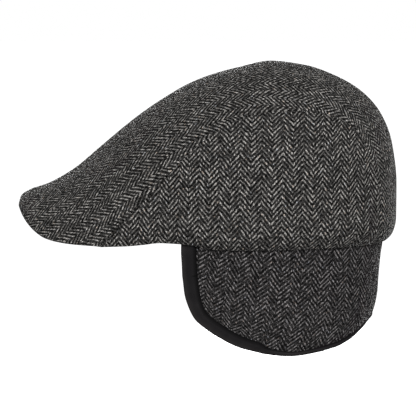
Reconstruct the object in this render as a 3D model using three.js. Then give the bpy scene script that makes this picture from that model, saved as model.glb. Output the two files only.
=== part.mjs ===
// Flat cap with a long rounded peak and a fold-down flap over the ears and nape.
// Millimetres, +Z up. The origin is the middle of the head opening, in the plane of the crown's lower rim.
// The peak points to -Y and the wearer's left is +X.
import * as THREE from 'three';

// Head opening: an ellipse of about 57 cm round
const HEAD_HALF_WIDTH = 80.5;
const HEAD_HALF_LENGTH = 99.5;

// Cloth, board and tape
const CROWN_CLOTH = 2.0;
const SEAM_GAP = 0.5;
const BOARD = 4.0;
const FLAP_CLOTH = 3.2;
const TAPE = 1.2;
const TAPE_WIDTH = 9.5;
const TAPE_GAP = 0.4;
const FIT_GAP = 0.3;

// Outside of the flap at the rim; the crown's rim closes on it
const FLAP_HALF_WIDTH = HEAD_HALF_WIDTH + FLAP_CLOTH + FIT_GAP;
const FLAP_HALF_LENGTH = HEAD_HALF_LENGTH + FLAP_CLOTH + FIT_GAP;
const FLAP_TOP = 10;

// How round the crown's lower corner is: 2 is an ellipse, 1 a flat bevel
const TUCK_POWER = 1.3;

// How far a line of the side panel runs on from the seam and from the wall before it bends, as a share
const SIDE_REACH = 0.38;

// How much of the board's thickness is left at its rim
const PEAK_RIM_SHARE = 0.45;

// Colours of the tweed and of the tape
const TWEED = { color: 0x474645, roughness: 0.95, metalness: 0 };
const TWEED_SHADE = { color: 0x3b3a3a, roughness: 0.95, metalness: 0 };
const TAPE_FINISH = { color: 0x212021, roughness: 0.85, metalness: 0 };

// Sections across the top panel, from the tip of the peak over the crown to the nape.
// ridge: the centre line. edge: the left edge, the peak's rim as far as row FOOT and then the seam.
// arc: degrees of arc between ridge and edge, 90 for a section that ends upright.
const TOP_SECTIONS = [
  { ridgeY: -159.2, ridgeZ: 26.6, edgeX: 9.0, edgeY: -158.9, edgeZ: 25.2, arc: 62 },
  { ridgeY: -157.4, ridgeZ: 32.4, edgeX: 24.0, edgeY: -155.9, edgeZ: 20.4, arc: 78 },
  { ridgeY: -151.0, ridgeZ: 36.8, edgeX: 40.0, edgeY: -149.6, edgeZ: 13.4, arc: 74 },
  { ridgeY: -138.0, ridgeZ: 41.3, edgeX: 52.5, edgeY: -138.0, edgeZ: 6.2, arc: 73 },
  { ridgeY: -120.0, ridgeZ: 51.4, edgeX: 60.0, edgeY: -120.0, edgeZ: 2.8, arc: 78 },
  { ridgeY: -99.0, ridgeZ: 68.4, edgeX: 66.3, edgeY: -99.0, edgeZ: 1.6, arc: 84 },
  { ridgeY: -84.0, ridgeZ: 81.0, edgeX: 71.0, edgeY: -82.2, edgeZ: 20.5, arc: 79 },
  { ridgeY: -69.0, ridgeZ: 92.6, edgeX: 72.6, edgeY: -69.0, edgeZ: 33.5, arc: 74 },
  { ridgeY: -53.0, ridgeZ: 103.4, edgeX: 72.5, edgeY: -55.0, edgeZ: 48.0, arc: 67 },
  { ridgeY: -35.0, ridgeZ: 113.6, edgeX: 71.0, edgeY: -38.0, edgeZ: 66.5, arc: 58 },
  { ridgeY: -17.0, ridgeZ: 120.6, edgeX: 69.0, edgeY: -19.5, edgeZ: 81.5, arc: 52 },
  { ridgeY: 0.0, ridgeZ: 125.0, edgeX: 67.0, edgeY: -2.0, edgeZ: 91.0, arc: 48 },
  { ridgeY: 22.0, ridgeZ: 128.4, edgeX: 65.5, edgeY: 20.0, edgeZ: 96.5, arc: 46 },
  { ridgeY: 46.0, ridgeZ: 125.7, edgeX: 61.5, edgeY: 45.0, edgeZ: 97.2, arc: 45 },
  { ridgeY: 67.0, ridgeZ: 118.9, edgeX: 56.5, edgeY: 64.0, edgeZ: 93.6, arc: 42 },
  { ridgeY: 86.0, ridgeZ: 108.2, edgeX: 52.0, edgeY: 80.0, edgeZ: 84.2, arc: 41 },
  { ridgeY: 101.5, ridgeZ: 91.0, edgeX: 49.5, edgeY: 90.5, edgeZ: 68.3, arc: 38 },
  { ridgeY: 109.3, ridgeZ: 71.0, edgeX: 48.0, edgeY: 96.1, edgeZ: 52.0, arc: 34 },
  { ridgeY: 112.6, ridgeZ: 42.0, edgeX: 46.5, edgeY: 99.6, edgeZ: 35.0, arc: 30 },
  { ridgeY: 112.4, ridgeZ: 17.0, edgeX: 45.0, edgeY: 100.8, edgeZ: 17.0, arc: 28 },
  { ridgeY: 109.8, ridgeZ: 6.0, edgeX: 41.6, edgeY: 99.8, edgeZ: 5.6, arc: 26 },
  { ridgeY: 104.8, ridgeZ: 0.4, edgeX: 37.0, edgeY: 94.9, edgeZ: 0.4, arc: 25 },
];
const FOOT = 5;

// Lines down the side panel, one for each top section from FOOT on.
// rimAngle, rimOut: where the line ends, round the flap's ellipse and outside it. rimZ: the height there.
// tuckDepth, tuckHeight: the corner that turns in to the rim. wallZ: where the wall above it is upright.
const SIDE_LINES = [
  { rimAngle: -51.6, rimOut: 22.9, rimZ: 1.2, tuckDepth: 0.3, tuckHeight: 0.4, wallZ: 1.6 },
  { rimAngle: -43.8, rimOut: 14.6, rimZ: 1.8, tuckDepth: 1.0, tuckHeight: 2.5, wallZ: 8.0 },
  { rimAngle: -37.3, rimOut: 10.4, rimZ: 3.2, tuckDepth: 1.6, tuckHeight: 4.0, wallZ: 12.0 },
  { rimAngle: -30.2, rimOut: 6.8, rimZ: 4.8, tuckDepth: 2.2, tuckHeight: 5.0, wallZ: 15.0 },
  { rimAngle: -21.0, rimOut: 4.7, rimZ: 4.2, tuckDepth: 3.0, tuckHeight: 7.0, wallZ: 17.0 },
  { rimAngle: -10.6, rimOut: 2.3, rimZ: 0.8, tuckDepth: 4.8, tuckHeight: 9.5, wallZ: 19.0 },
  { rimAngle: -1.0, rimOut: 1.8, rimZ: 0.3, tuckDepth: 6.0, tuckHeight: 10.5, wallZ: 22.0 },
  { rimAngle: 11.4, rimOut: 1.8, rimZ: 0.3, tuckDepth: 6.6, tuckHeight: 11.0, wallZ: 25.0 },
  { rimAngle: 26.2, rimOut: 1.8, rimZ: 0.3, tuckDepth: 7.4, tuckHeight: 11.0, wallZ: 28.0 },
  { rimAngle: 38.6, rimOut: 1.8, rimZ: 0.3, tuckDepth: 7.8, tuckHeight: 11.0, wallZ: 28.0 },
  { rimAngle: 49.0, rimOut: 1.8, rimZ: 0.3, tuckDepth: 8.0, tuckHeight: 11.0, wallZ: 28.0 },
  { rimAngle: 55.5, rimOut: 1.8, rimZ: 0.3, tuckDepth: 8.0, tuckHeight: 11.0, wallZ: 26.0 },
  { rimAngle: 58.6, rimOut: 1.8, rimZ: 0.3, tuckDepth: 8.0, tuckHeight: 11.0, wallZ: 22.0 },
  { rimAngle: 60.6, rimOut: 1.8, rimZ: 0.3, tuckDepth: 8.0, tuckHeight: 11.0, wallZ: 16.0 },
  { rimAngle: 61.4, rimOut: 1.8, rimZ: 0.3, tuckDepth: 8.0, tuckHeight: 11.0, wallZ: 10.0 },
  { rimAngle: 62.4, rimOut: 1.8, rimZ: 0.3, tuckDepth: 8.0, tuckHeight: 11.0, wallZ: 3.6 },
  { rimAngle: 63.3, rimOut: 1.8, rimZ: 0.3, tuckDepth: 8.0, tuckHeight: 11.0, wallZ: 0.5 },
];

// Straight lines across the peak board, from its rim to the forehead, on the board's middle.
// headAngle is measured round the head opening from the middle of the forehead, headZ is the height there.
const PEAK_LINES = [
  { rimX: 0, rimY: -155.6, rimZ: 28.6, headAngle: 0, headZ: 50.4 },
  { rimX: 19.0, rimY: -153.6, rimZ: 25.0, headAngle: 14.0, headZ: 47.6 },
  { rimX: 34.5, rimY: -148.0, rimZ: 18.4, headAngle: 26.0, headZ: 41.6 },
  { rimX: 47.0, rimY: -136.5, rimZ: 9.6, headAngle: 36.5, headZ: 31.0 },
  { rimX: 53.2, rimY: -123.0, rimZ: 6.2, headAngle: 42.3, headZ: 24.6 },
  { rimX: 57.4, rimY: -109.0, rimZ: 4.8, headAngle: 46.2, headZ: 20.0 },
  { rimX: 63.4, rimY: -89.0, rimZ: 4.2, headAngle: 52.2, headZ: 15.0 },
  { rimX: 69.6, rimY: -68.0, rimZ: 6.6, headAngle: 60.0, headZ: 12.6 },
  { rimX: 73.0, rimY: -56.0, rimZ: 8.0, headAngle: 64.0, headZ: 11.6 },
];

// How far the flap closes in below the rim, across and along the head
const FLAP_TAPER = [
  { z: 12, width: 0, length: 0 },
  { z: 0, width: 0, length: 0 },
  { z: -10, width: 0.7, length: 1.7 },
  { z: -26, width: 1.8, length: 4.2 },
  { z: -43, width: 3.0, length: 5.8 },
  { z: -60, width: 4.6, length: 8.0 },
  { z: -78, width: 6.5, length: 11.0 },
];

// Lines down the flap on one side, from the temple to the nape: angles round its ellipse, 90 at the nape
const FLAP_LINES = [
  { topAngle: -23.1, edgeAngle: -23.3, edgeZ: -18.0 },
  { topAngle: -20.2, edgeAngle: -22.6, edgeZ: -30.0 },
  { topAngle: -16.4, edgeAngle: -21.0, edgeZ: -39.0 },
  { topAngle: -12.0, edgeAngle: -18.4, edgeZ: -47.5 },
  { topAngle: -6.5, edgeAngle: -12.8, edgeZ: -55.5 },
  { topAngle: -0.5, edgeAngle: -4.8, edgeZ: -63.6 },
  { topAngle: 8.0, edgeAngle: 5.0, edgeZ: -69.6 },
  { topAngle: 24.0, edgeAngle: 23.0, edgeZ: -74.0 },
  { topAngle: 44.0, edgeAngle: 43.7, edgeZ: -70.6 },
  { topAngle: 60.0, edgeAngle: 60.0, edgeZ: -63.6 },
  { topAngle: 75.0, edgeAngle: 75.0, edgeZ: -55.8 },
  { topAngle: 90.0, edgeAngle: 90.0, edgeZ: -51.6 },
];

// The flap's lower edge turns in by CURL_DEPTH over CURL_HEIGHT.
// The turn begins at angle CURL_START and is full at CURL_FULL.
const CURL_DEPTH = 2.6;
const CURL_HEIGHT = 20.0;
const CURL_START = -12.0;
const CURL_FULL = 8.0;

// Section of the tape that is folded over the flap's edge, from the middle of the wall's end.
// out: past the edge, in the wall's own surface. side: off the wall's middle.
const GROOVE = FLAP_CLOTH / 2 + TAPE_GAP;
const TAPE_FACE = GROOVE + TAPE;
const TAPE_END = FIT_GAP + TAPE;
const TAPE_SECTION = [
  { out: TAPE_END - TAPE_WIDTH, side: TAPE_FACE },
  { out: (TAPE_END - TAPE_WIDTH) / 2, side: TAPE_FACE },
  { out: 0, side: TAPE_FACE },
  { out: TAPE_END, side: GROOVE },
  { out: TAPE_END, side: -GROOVE },
  { out: 0, side: -TAPE_FACE },
  { out: (TAPE_END - TAPE_WIDTH) / 2, side: -TAPE_FACE },
  { out: TAPE_END - TAPE_WIDTH, side: -TAPE_FACE },
  { out: TAPE_END - TAPE_WIDTH, side: -GROOVE },
  { out: (TAPE_END - TAPE_WIDTH) / 2, side: -GROOVE },
  { out: FIT_GAP, side: -GROOVE },
  { out: FIT_GAP, side: GROOVE },
  { out: (TAPE_END - TAPE_WIDTH) / 2, side: GROOVE },
  { out: TAPE_END - TAPE_WIDTH, side: GROOVE },
];

// Fineness of the meshes; a row power over 1 sets the rows closer at the rim or the edge
const ROWS_PER_SECTION = 2;
const TOP_COLUMNS = 16;
const SIDE_WALL_ROWS = 8;
const SIDE_TUCK_ROWS = 3;
const PEAK_STEPS_PER_LINE = 2;
const PEAK_ROWS = 6;
const PEAK_ROW_POWER = 1.5;
const FLAP_STEPS_PER_LINE = 2;
const FLAP_ROWS = 9;
const FLAP_ROW_POWER = 1.4;

// How much of a section is left off at the two corners of a side panel
const SIDE_CORNER = 0.12;

// A point well inside the crown, to tell which way is in
const INSIDE = new THREE.Vector3(0, 10, 20);

const radians = THREE.MathUtils.degToRad;
const mix = THREE.MathUtils.lerp;
const clamp = THREE.MathUtils.clamp;

// A point of the left side kept (side 1) or moved to the right side (side -1)
function mirrored(point, side) {
  return point.setX(point.x * side);
}

// Smooth curve through one column of a table that never overshoots its rows.
// position(i) is where row i lies on the curve's axis; at row corner the curve has a kink.
function columnCurve(table, key, position = (row) => row, corner = -1) {
  const last = table.length - 1;
  const step = (i) => position(i + 1) - position(i);
  const rise = (i) => (table[i + 1][key] - table[i][key]) / step(i);
  const slope = (i) => {
    if (i === 0) return rise(0);
    if (i === last) return rise(last - 1);
    const before = rise(i - 1);
    const after = rise(i);
    return before * after <= 0 ? 0 : (2 * before * after) / (before + after);
  };
  return (at) => {
    let i = 0;
    while (i < last - 1 && at > position(i + 1)) i += 1;
    const width = step(i);
    const u = clamp((at - position(i)) / width, 0, 1);
    const v = 1 - u;
    const leaving = i === corner ? rise(i) : slope(i);
    const arriving = i + 1 === corner ? rise(i) : slope(i + 1);
    return table[i][key] * (1 + 2 * u) * v * v + table[i + 1][key] * (1 + 2 * v) * u * u
      + width * u * v * (leaving * v - arriving * u);
  };
}

// All columns of a table as one function that gives a row at any place between its rows.
// The columns whose names start with kinked have a corner at row corner.
function tableCurve(table, position, kinked = 'none', corner = -1) {
  const curves = Object.keys(table[0]).map((key) => (
    [key, columnCurve(table, key, position, key.startsWith(kinked) ? corner : -1)]
  ));
  return (at) => Object.fromEntries(curves.map(([key, curve]) => [key, curve(at)]));
}

const topSection = tableCurve(TOP_SECTIONS, undefined, 'edge', FOOT);
const sideLine = tableCurve(SIDE_LINES, (row) => row + FOOT);
const peakLine = tableCurve(PEAK_LINES);
const flapLine = tableCurve(FLAP_LINES);
const flapEdge = columnCurve(FLAP_LINES, 'edgeZ', (row) => FLAP_LINES[row].edgeAngle);
const flapTaper = tableCurve(FLAP_TAPER.toReversed(), (row) => FLAP_TAPER.at(-1 - row).z);

// A closed wall between an outer grid of points and the same grid moved in
function wallGeometry(outer, inner) {
  const rows = outer.length;
  const columns = outer[0].length;
  const points = [...outer.flat(), ...inner.flat()];
  const far = rows * columns;
  const index = [];
  const quad = (a, b, c, d) => index.push(a, b, c, a, c, d);
  for (let i = 0; i < rows - 1; i += 1) {
    for (let j = 0; j < columns - 1; j += 1) {
      const a = i * columns + j;
      quad(a, a + 1, a + columns + 1, a + columns);
      quad(far + a, far + a + columns, far + a + columns + 1, far + a + 1);
    }
  }
  const rim = [];
  for (let j = 0; j < columns - 1; j += 1) rim.push(j);
  for (let i = 0; i < rows - 1; i += 1) rim.push(i * columns + columns - 1);
  for (let j = columns - 1; j > 0; j -= 1) rim.push((rows - 1) * columns + j);
  for (let i = rows - 1; i > 0; i -= 1) rim.push(i * columns);
  rim.forEach((a, k) => {
    const b = rim[(k + 1) % rim.length];
    quad(a, far + a, far + b, b);
  });
  return outwardGeometry(points, index);
}

// Indexed geometry with its faces turned outwards
function outwardGeometry(points, index) {
  let volume = 0;
  for (let k = 0; k < index.length; k += 3) {
    const [a, b, c] = [points[index[k]], points[index[k + 1]], points[index[k + 2]]];
    volume += a.dot(b.clone().cross(c));
  }
  if (volume < 0) index.reverse();
  const geometry = new THREE.BufferGeometry().setFromPoints(points);
  geometry.setIndex(index);
  geometry.computeVertexNormals();
  return geometry;
}

// Normals of a grid by differences between neighbours
function gridNormals(grid) {
  const lastRow = grid.length - 1;
  const lastColumn = grid[0].length - 1;
  return grid.map((row, i) => row.map((_, j) => {
    const down = grid[Math.min(i + 1, lastRow)][j].clone().sub(grid[Math.max(i - 1, 0)][j]);
    const across = row[Math.min(j + 1, lastColumn)].clone().sub(row[Math.max(j - 1, 0)]);
    return across.cross(down).normalize();
  }));
}

// A grid moved along its normals, away from an inside point
function shifted(grid, distance, inside) {
  const normals = gridNormals(grid);
  const [i0, j0] = [Math.floor(grid.length / 2), Math.floor(grid[0].length / 2)];
  const outward = Math.sign(grid[i0][j0].clone().sub(inside).dot(normals[i0][j0]));
  return grid.map((row, i) => row.map((point, j) => (
    point.clone().addScaledVector(normals[i][j], outward * distance)
  )));
}

// Point of the top panel at section t, from the left edge (across 1) to the right edge (across -1)
function topPoint(t, across) {
  const s = topSection(t);
  const arc = radians(s.arc);
  const drop = (1 - Math.cos(across * arc)) / (1 - Math.cos(arc));
  return new THREE.Vector3(
    s.edgeX * Math.sin(across * arc) / Math.sin(arc),
    mix(s.ridgeY, s.edgeY, drop),
    mix(s.ridgeZ, s.edgeZ, drop),
  );
}

function topPanel() {
  const rows = (TOP_SECTIONS.length - 1) * ROWS_PER_SECTION;
  const outer = [];
  for (let i = 0; i <= rows; i += 1) {
    const row = [];
    for (let j = 0; j <= TOP_COLUMNS; j += 1) {
      row.push(topPoint(i / ROWS_PER_SECTION, 2 * j / TOP_COLUMNS - 1));
    }
    outer.push(row);
  }
  return wallGeometry(outer, shifted(outer, -CROWN_CLOTH, INSIDE));
}

// Point of a side line's wall and of the corner below it, at a height above the rim
function tuckPoint(line, height) {
  const angle = radians(line.rimAngle);
  const halfWidth = FLAP_HALF_WIDTH + line.rimOut;
  const halfLength = FLAP_HALF_LENGTH + line.rimOut;
  const rim = new THREE.Vector3(halfWidth * Math.cos(angle), halfLength * Math.sin(angle), line.rimZ);
  const outward = new THREE.Vector3(Math.cos(angle) / halfWidth, Math.sin(angle) / halfLength, 0);
  outward.normalize();
  const rest = clamp(1 - height / line.tuckHeight, 0, 1);
  const out = (1 - rest ** TUCK_POWER) ** (1 / TUCK_POWER);
  rim.addScaledVector(outward, line.tuckDepth * out);
  rim.z += height;
  return rim;
}

// One line down the side panel, from the seam to the rim
function sideLinePoints(t) {
  const small = 0.01;
  const edge = topPoint(t, 1);
  const across = edge.clone().sub(topPoint(t, 1 - small)).normalize();
  const along = topPoint(t + small, 1).sub(topPoint(t - small, 1)).normalize();
  const away = across.clone().addScaledVector(along, -across.dot(along)).normalize();
  const seam = edge.addScaledVector(away, SEAM_GAP);
  const line = sideLine(t);
  const wallHeight = line.wallZ - line.rimZ;
  const wall = tuckPoint(line, wallHeight);
  const wallRise = tuckPoint(line, wallHeight + small).sub(wall).normalize();
  const reach = SIDE_REACH * seam.distanceTo(wall);
  const upper = new THREE.CubicBezierCurve3(
    seam,
    seam.clone().addScaledVector(across, reach),
    wall.clone().addScaledVector(wallRise, reach),
    wall,
  );
  const points = upper.getPoints(SIDE_WALL_ROWS);
  const turn = Math.min(wallHeight, line.tuckHeight);
  for (let k = 1; k <= SIDE_TUCK_ROWS; k += 1) {
    const rest = 1 - k / SIDE_TUCK_ROWS;
    points.push(tuckPoint(line, turn * (1 - Math.cos(rest * Math.PI / 2))));
  }
  return points;
}

// The side panel's lines stand at the top panel's own rows, and its two corners are cut a little short
function sidePanel(side) {
  const last = TOP_SECTIONS.length - 1;
  const places = [FOOT + SIDE_CORNER];
  for (let k = FOOT * ROWS_PER_SECTION + 1; k < last * ROWS_PER_SECTION; k += 1) {
    places.push(k / ROWS_PER_SECTION);
  }
  places.push(last - SIDE_CORNER);
  const outer = places.map((t) => sideLinePoints(t).map((point) => mirrored(point, side)));
  return wallGeometry(outer, shifted(outer, -CROWN_CLOTH, INSIDE));
}

function peak() {
  const half = (PEAK_LINES.length - 1) * PEAK_STEPS_PER_LINE;
  const middle = [];
  for (let i = -half; i <= half; i += 1) {
    const side = Math.sign(i);
    const line = peakLine(Math.abs(i) / PEAK_STEPS_PER_LINE);
    const angle = radians(line.headAngle);
    const rim = new THREE.Vector3(side * line.rimX, line.rimY, line.rimZ);
    const head = new THREE.Vector3(
      side * (HEAD_HALF_WIDTH + FIT_GAP) * Math.sin(angle),
      -(HEAD_HALF_LENGTH + FIT_GAP) * Math.cos(angle),
      line.headZ,
    );
    const row = [];
    for (let j = 0; j <= PEAK_ROWS; j += 1) {
      row.push(rim.clone().lerp(head, (j / PEAK_ROWS) ** PEAK_ROW_POWER));
    }
    middle.push(row);
  }
  const normals = gridNormals(middle);
  const face = (sign) => middle.map((row, i) => row.map((point, j) => {
    const thickness = BOARD * (j === 0 ? PEAK_RIM_SHARE : 1);
    return point.clone().addScaledVector(normals[i][j], sign * thickness / 2);
  }));
  return wallGeometry(face(1), face(-1));
}

// How far the flap's lower edge turns in; the upright edge at the temple stays flat
function flapCurl(angle, z) {
  const share = clamp((angle - CURL_START) / (CURL_FULL - CURL_START), 0, 1);
  const near = clamp(1 - (z - flapEdge(angle)) / CURL_HEIGHT, 0, 1);
  return CURL_DEPTH * share * near * near;
}

// Point on the flap's outer face at an angle round its ellipse and a height
function flapFace(angle, z) {
  const taper = flapTaper(z);
  const curl = flapCurl(angle, z);
  return new THREE.Vector3(
    (FLAP_HALF_WIDTH - taper.width - curl) * Math.cos(radians(angle)),
    (FLAP_HALF_LENGTH - taper.length - curl) * Math.sin(radians(angle)),
    z,
  );
}

// Outward normal of the flap's face, from its ellipse and the slope of its wall
function flapNormal(angle, z) {
  const small = 0.5;
  const rise = flapFace(angle, z + small).sub(flapFace(angle, z - small)).divideScalar(2 * small);
  const turn = radians(angle);
  const normal = new THREE.Vector3(Math.cos(turn) / FLAP_HALF_WIDTH, Math.sin(turn) / FLAP_HALF_LENGTH, 0);
  normal.normalize();
  normal.z = -rise.dot(normal);
  return normal.normalize();
}

// Angle and height at line c of the flap: w from 0 at the top to 1 at the edge
function flapSpot(c, w) {
  const line = flapLine(c);
  return [mix(line.topAngle, line.edgeAngle, w), mix(FLAP_TOP, line.edgeZ, w)];
}

// A point in the flap's wall, depth in from the outer face
function flapPoint(spot, depth) {
  return flapFace(...spot).addScaledVector(flapNormal(...spot), -depth);
}

// Places along the flap from the left temple (0) to the nape and on to the right temple
const FLAP_NAPE = FLAP_LINES.length - 1;
const flapColumns = Array.from(
  { length: 2 * FLAP_NAPE * FLAP_STEPS_PER_LINE + 1 },
  (_, i) => {
    const along = i / FLAP_STEPS_PER_LINE;
    return { c: FLAP_NAPE - Math.abs(FLAP_NAPE - along), side: along > FLAP_NAPE ? -1 : 1 };
  },
);
const flapRows = Array.from({ length: FLAP_ROWS + 1 }, (_, j) => 1 - (1 - j / FLAP_ROWS) ** FLAP_ROW_POWER);

function earFlap() {
  const grid = (depth) => flapColumns.map(({ c, side }) => (
    flapRows.map((w) => mirrored(flapPoint(flapSpot(c, w), depth), side))
  ));
  return wallGeometry(grid(0), grid(FLAP_CLOTH));
}

// The tape's section at one place of the flap's free edge, with along as the edge's direction there
function tapeSection(spot, along) {
  const edge = flapPoint(spot, 0);
  const outward = along.clone().cross(flapNormal(...spot)).normalize();
  return TAPE_SECTION.map(({ out, side }) => {
    const place = edge.clone().addScaledVector(outward, out);
    const taper = flapTaper(place.z);
    const across = place.x / (FLAP_HALF_WIDTH - taper.width);
    const forward = place.y / (FLAP_HALF_LENGTH - taper.length);
    const angle = THREE.MathUtils.radToDeg(Math.atan2(forward, across));
    return flapPoint([angle, place.z], FLAP_CLOTH / 2 - side);
  });
}

function flapBinding() {
  const upright = flapRows.slice(1, -1).map((w) => ({ c: 0, w, side: 1 }));
  const edge = flapColumns.map((column) => ({ ...column, w: 1 }));
  const path = [...upright, ...edge, ...upright.toReversed().map((place) => ({ ...place, side: -1 }))];
  const points = path.map(({ c, w, side }) => mirrored(flapPoint(flapSpot(c, w), 0), side));
  const sections = path.map(({ c, w, side }, i) => {
    const ahead = points[Math.min(i + 1, points.length - 1)];
    const behind = points[Math.max(i - 1, 0)];
    const along = mirrored(ahead.clone().sub(behind), side).multiplyScalar(side);
    return tapeSection(flapSpot(c, w), along).map((point) => mirrored(point, side));
  });
  return loftGeometry(sections);
}

// A closed solid through sections with the same number of corners, with flat ends
function loftGeometry(sections) {
  const corners = sections[0].length;
  const index = [];
  for (let i = 0; i < sections.length - 1; i += 1) {
    for (let j = 0; j < corners; j += 1) {
      const next = (j + 1) % corners;
      const [a, b] = [i * corners + j, i * corners + next];
      index.push(a, b, b + corners, a, b + corners, a + corners);
    }
  }
  const outline = TAPE_SECTION.map(({ out, side }) => new THREE.Vector2(out, side));
  const last = (sections.length - 1) * corners;
  const clockwise = THREE.ShapeUtils.isClockWise(outline);
  for (const [a, b, c] of THREE.ShapeUtils.triangulateShape(outline, [])) {
    const turned = THREE.ShapeUtils.isClockWise([outline[a], outline[b], outline[c]]) !== clockwise;
    const [p, q] = turned ? [c, b] : [b, c];
    index.push(a, q, p, last + a, last + p, last + q);
  }
  return outwardGeometry(sections.flat(), index);
}

const group = new THREE.Group();

function addPiece(name, geometry, finish) {
  const mesh = new THREE.Mesh(geometry, new THREE.MeshStandardMaterial(finish));
  mesh.name = name;
  group.add(mesh);
}

addPiece('top_panel', topPanel(), TWEED);
addPiece('side_panel_left', sidePanel(1), TWEED);
addPiece('side_panel_right', sidePanel(-1), TWEED);
addPiece('peak', peak(), TWEED_SHADE);
addPiece('ear_flap', earFlap(), TWEED_SHADE);
addPiece('flap_binding', flapBinding(), TAPE_FINISH);

export default group;
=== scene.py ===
"""Duckbill flat cap of herringbone tweed with a taped flap over the ears and nape.

Every cloth piece is a surface of two parameters, worked out in millimetres from nearly the same tables as
the solids that it replaces: the crown's top is up to 1 mm fuller, and the flap's rear edge up to 2 mm further
back. The cloths turn in at their seams, and each is laid flat so that its weave keeps its true size.
"""

import logging
import math
from dataclasses import dataclass
from enum import Enum
from functools import partial, partialmethod
from typing import Any

import bpy
import numpy as np
from bpy.types import Material, Node, NodeSocket, Object
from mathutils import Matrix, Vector


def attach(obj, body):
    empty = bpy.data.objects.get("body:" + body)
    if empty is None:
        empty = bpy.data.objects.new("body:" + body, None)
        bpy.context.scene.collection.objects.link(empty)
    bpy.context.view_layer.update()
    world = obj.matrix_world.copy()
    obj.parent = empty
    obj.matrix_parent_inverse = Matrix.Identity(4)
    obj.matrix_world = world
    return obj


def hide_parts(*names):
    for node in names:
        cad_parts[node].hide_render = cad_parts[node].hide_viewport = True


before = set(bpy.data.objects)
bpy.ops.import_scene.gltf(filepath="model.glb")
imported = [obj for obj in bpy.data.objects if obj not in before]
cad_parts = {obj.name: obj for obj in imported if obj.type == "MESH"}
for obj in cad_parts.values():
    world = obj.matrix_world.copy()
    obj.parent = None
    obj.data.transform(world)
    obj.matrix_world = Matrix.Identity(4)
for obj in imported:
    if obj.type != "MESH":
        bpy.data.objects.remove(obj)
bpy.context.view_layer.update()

LOG = logging.getLogger("flat_cap")
Array = np.ndarray
Span = tuple[float, float]
Colour = tuple[float, float, float]

MM = 0.001
TINY = 1e-12
HEAD_HALF_WIDTH = 80.5
HEAD_HALF_LENGTH = 99.5
CROWN_CLOTH = 2.0
SEAM_GAP = 0.5
FLAP_CLOTH = 3.2
FIT_GAP = 0.3
FLAP_HALF_WIDTH = HEAD_HALF_WIDTH + FLAP_CLOTH + FIT_GAP
FLAP_HALF_LENGTH = HEAD_HALF_LENGTH + FLAP_CLOTH + FIT_GAP
INSIDE = np.array([0.0, 10.0, 20.0])

# Shares of the mean pull that a pattern's points follow in a round, on springs and on thread steps, and how
# little a surface may face the side before its threads stop getting longer
SPRING_RATE, STEP_RATE, LEAST_FACING = 1.3, 0.9, 0.2

# Distances from an edge, in millimetres, at which the grid has lines so that a turned-in edge is round
EDGE_LINES = np.array([0.0, 0.12, 0.35, 0.65, 1.0, 1.4, 1.9, 2.5, 3.3, 4.5])

# How much closer than even the grid's lines lie towards the flap's edge, as the power of the distance from it
EDGE_CROWDING = 1.25

# Where the pieces are cut from the cloth, in millimetres across it, so that no two show the same yarns
CUT_PLACES = {"side_panel_left": 400.0, "side_panel_right": 700.0, "peak": 1000.0, "ear_flap": 1500.0}

# Neighbours in a grid, as the slices of the ones and of the others: along its lines, and across its cells
FORE, AFT, EVERY = slice(None, -1), slice(1, None), slice(None)
LINES = (((FORE, EVERY), (AFT, EVERY)), ((EVERY, FORE), (EVERY, AFT)))
DIAGONALS = (((FORE, FORE), (AFT, AFT)), ((FORE, AFT), (AFT, FORE)))


@dataclass(frozen=True)
class Table:
    """Rows of named columns, joined by smooth curves that never overshoot the rows."""

    columns: tuple[str, ...]
    rows: tuple[tuple[float, ...], ...]
    first: int = 0
    axis: str | None = None
    kinked: tuple[str, ...] = ()
    corner: int = -1

    def places(self) -> Array:
        """Where the rows lie on the table's axis: a column's values, or the row numbers."""
        return self.column(self.axis) if self.axis else self.first + np.arange(len(self.rows), dtype=float)

    def column(self, name: str) -> Array:
        """The values of one column."""
        return np.array([row[self.columns.index(name)] for row in self.rows])

    def at(self, name: str, place: Array | float) -> Array:
        """A column's value anywhere between the rows.

        Each stretch is a cubic with the harmonic mean of its neighbours' slopes at its ends, and with its own
        slope at the corner row.

        Args:
            name: the column.
            place: places on the table's axis.

        Returns:
            The value at each place.
        """
        x, y = self.places(), self.column(name)
        place = np.asarray(place, dtype=float)
        step = np.diff(x)
        rise = np.diff(y) / step
        before, after = rise[:-1], rise[1:]
        alike = before * after > 0
        middle = np.where(alike, 2 * before * after / np.where(alike, before + after, 1), 0)
        slope = np.concatenate([rise[:1], middle, rise[-1:]])
        i = np.clip(np.searchsorted(x, place, side="left") - 1, 0, len(x) - 2)
        leaving, arriving = slope[i], slope[i + 1]
        if name in self.kinked:
            leaving = np.where(i == self.corner, rise[i], leaving)
            arriving = np.where(i + 1 == self.corner, rise[i], arriving)
        u = np.clip((place - x[i]) / step[i], 0, 1)
        v = 1 - u
        ends = y[i] * (1 + 2 * u) * v * v + y[i + 1] * (1 + 2 * v) * u * u
        return ends + step[i] * u * v * (leaving * v - arriving * u)


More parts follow.
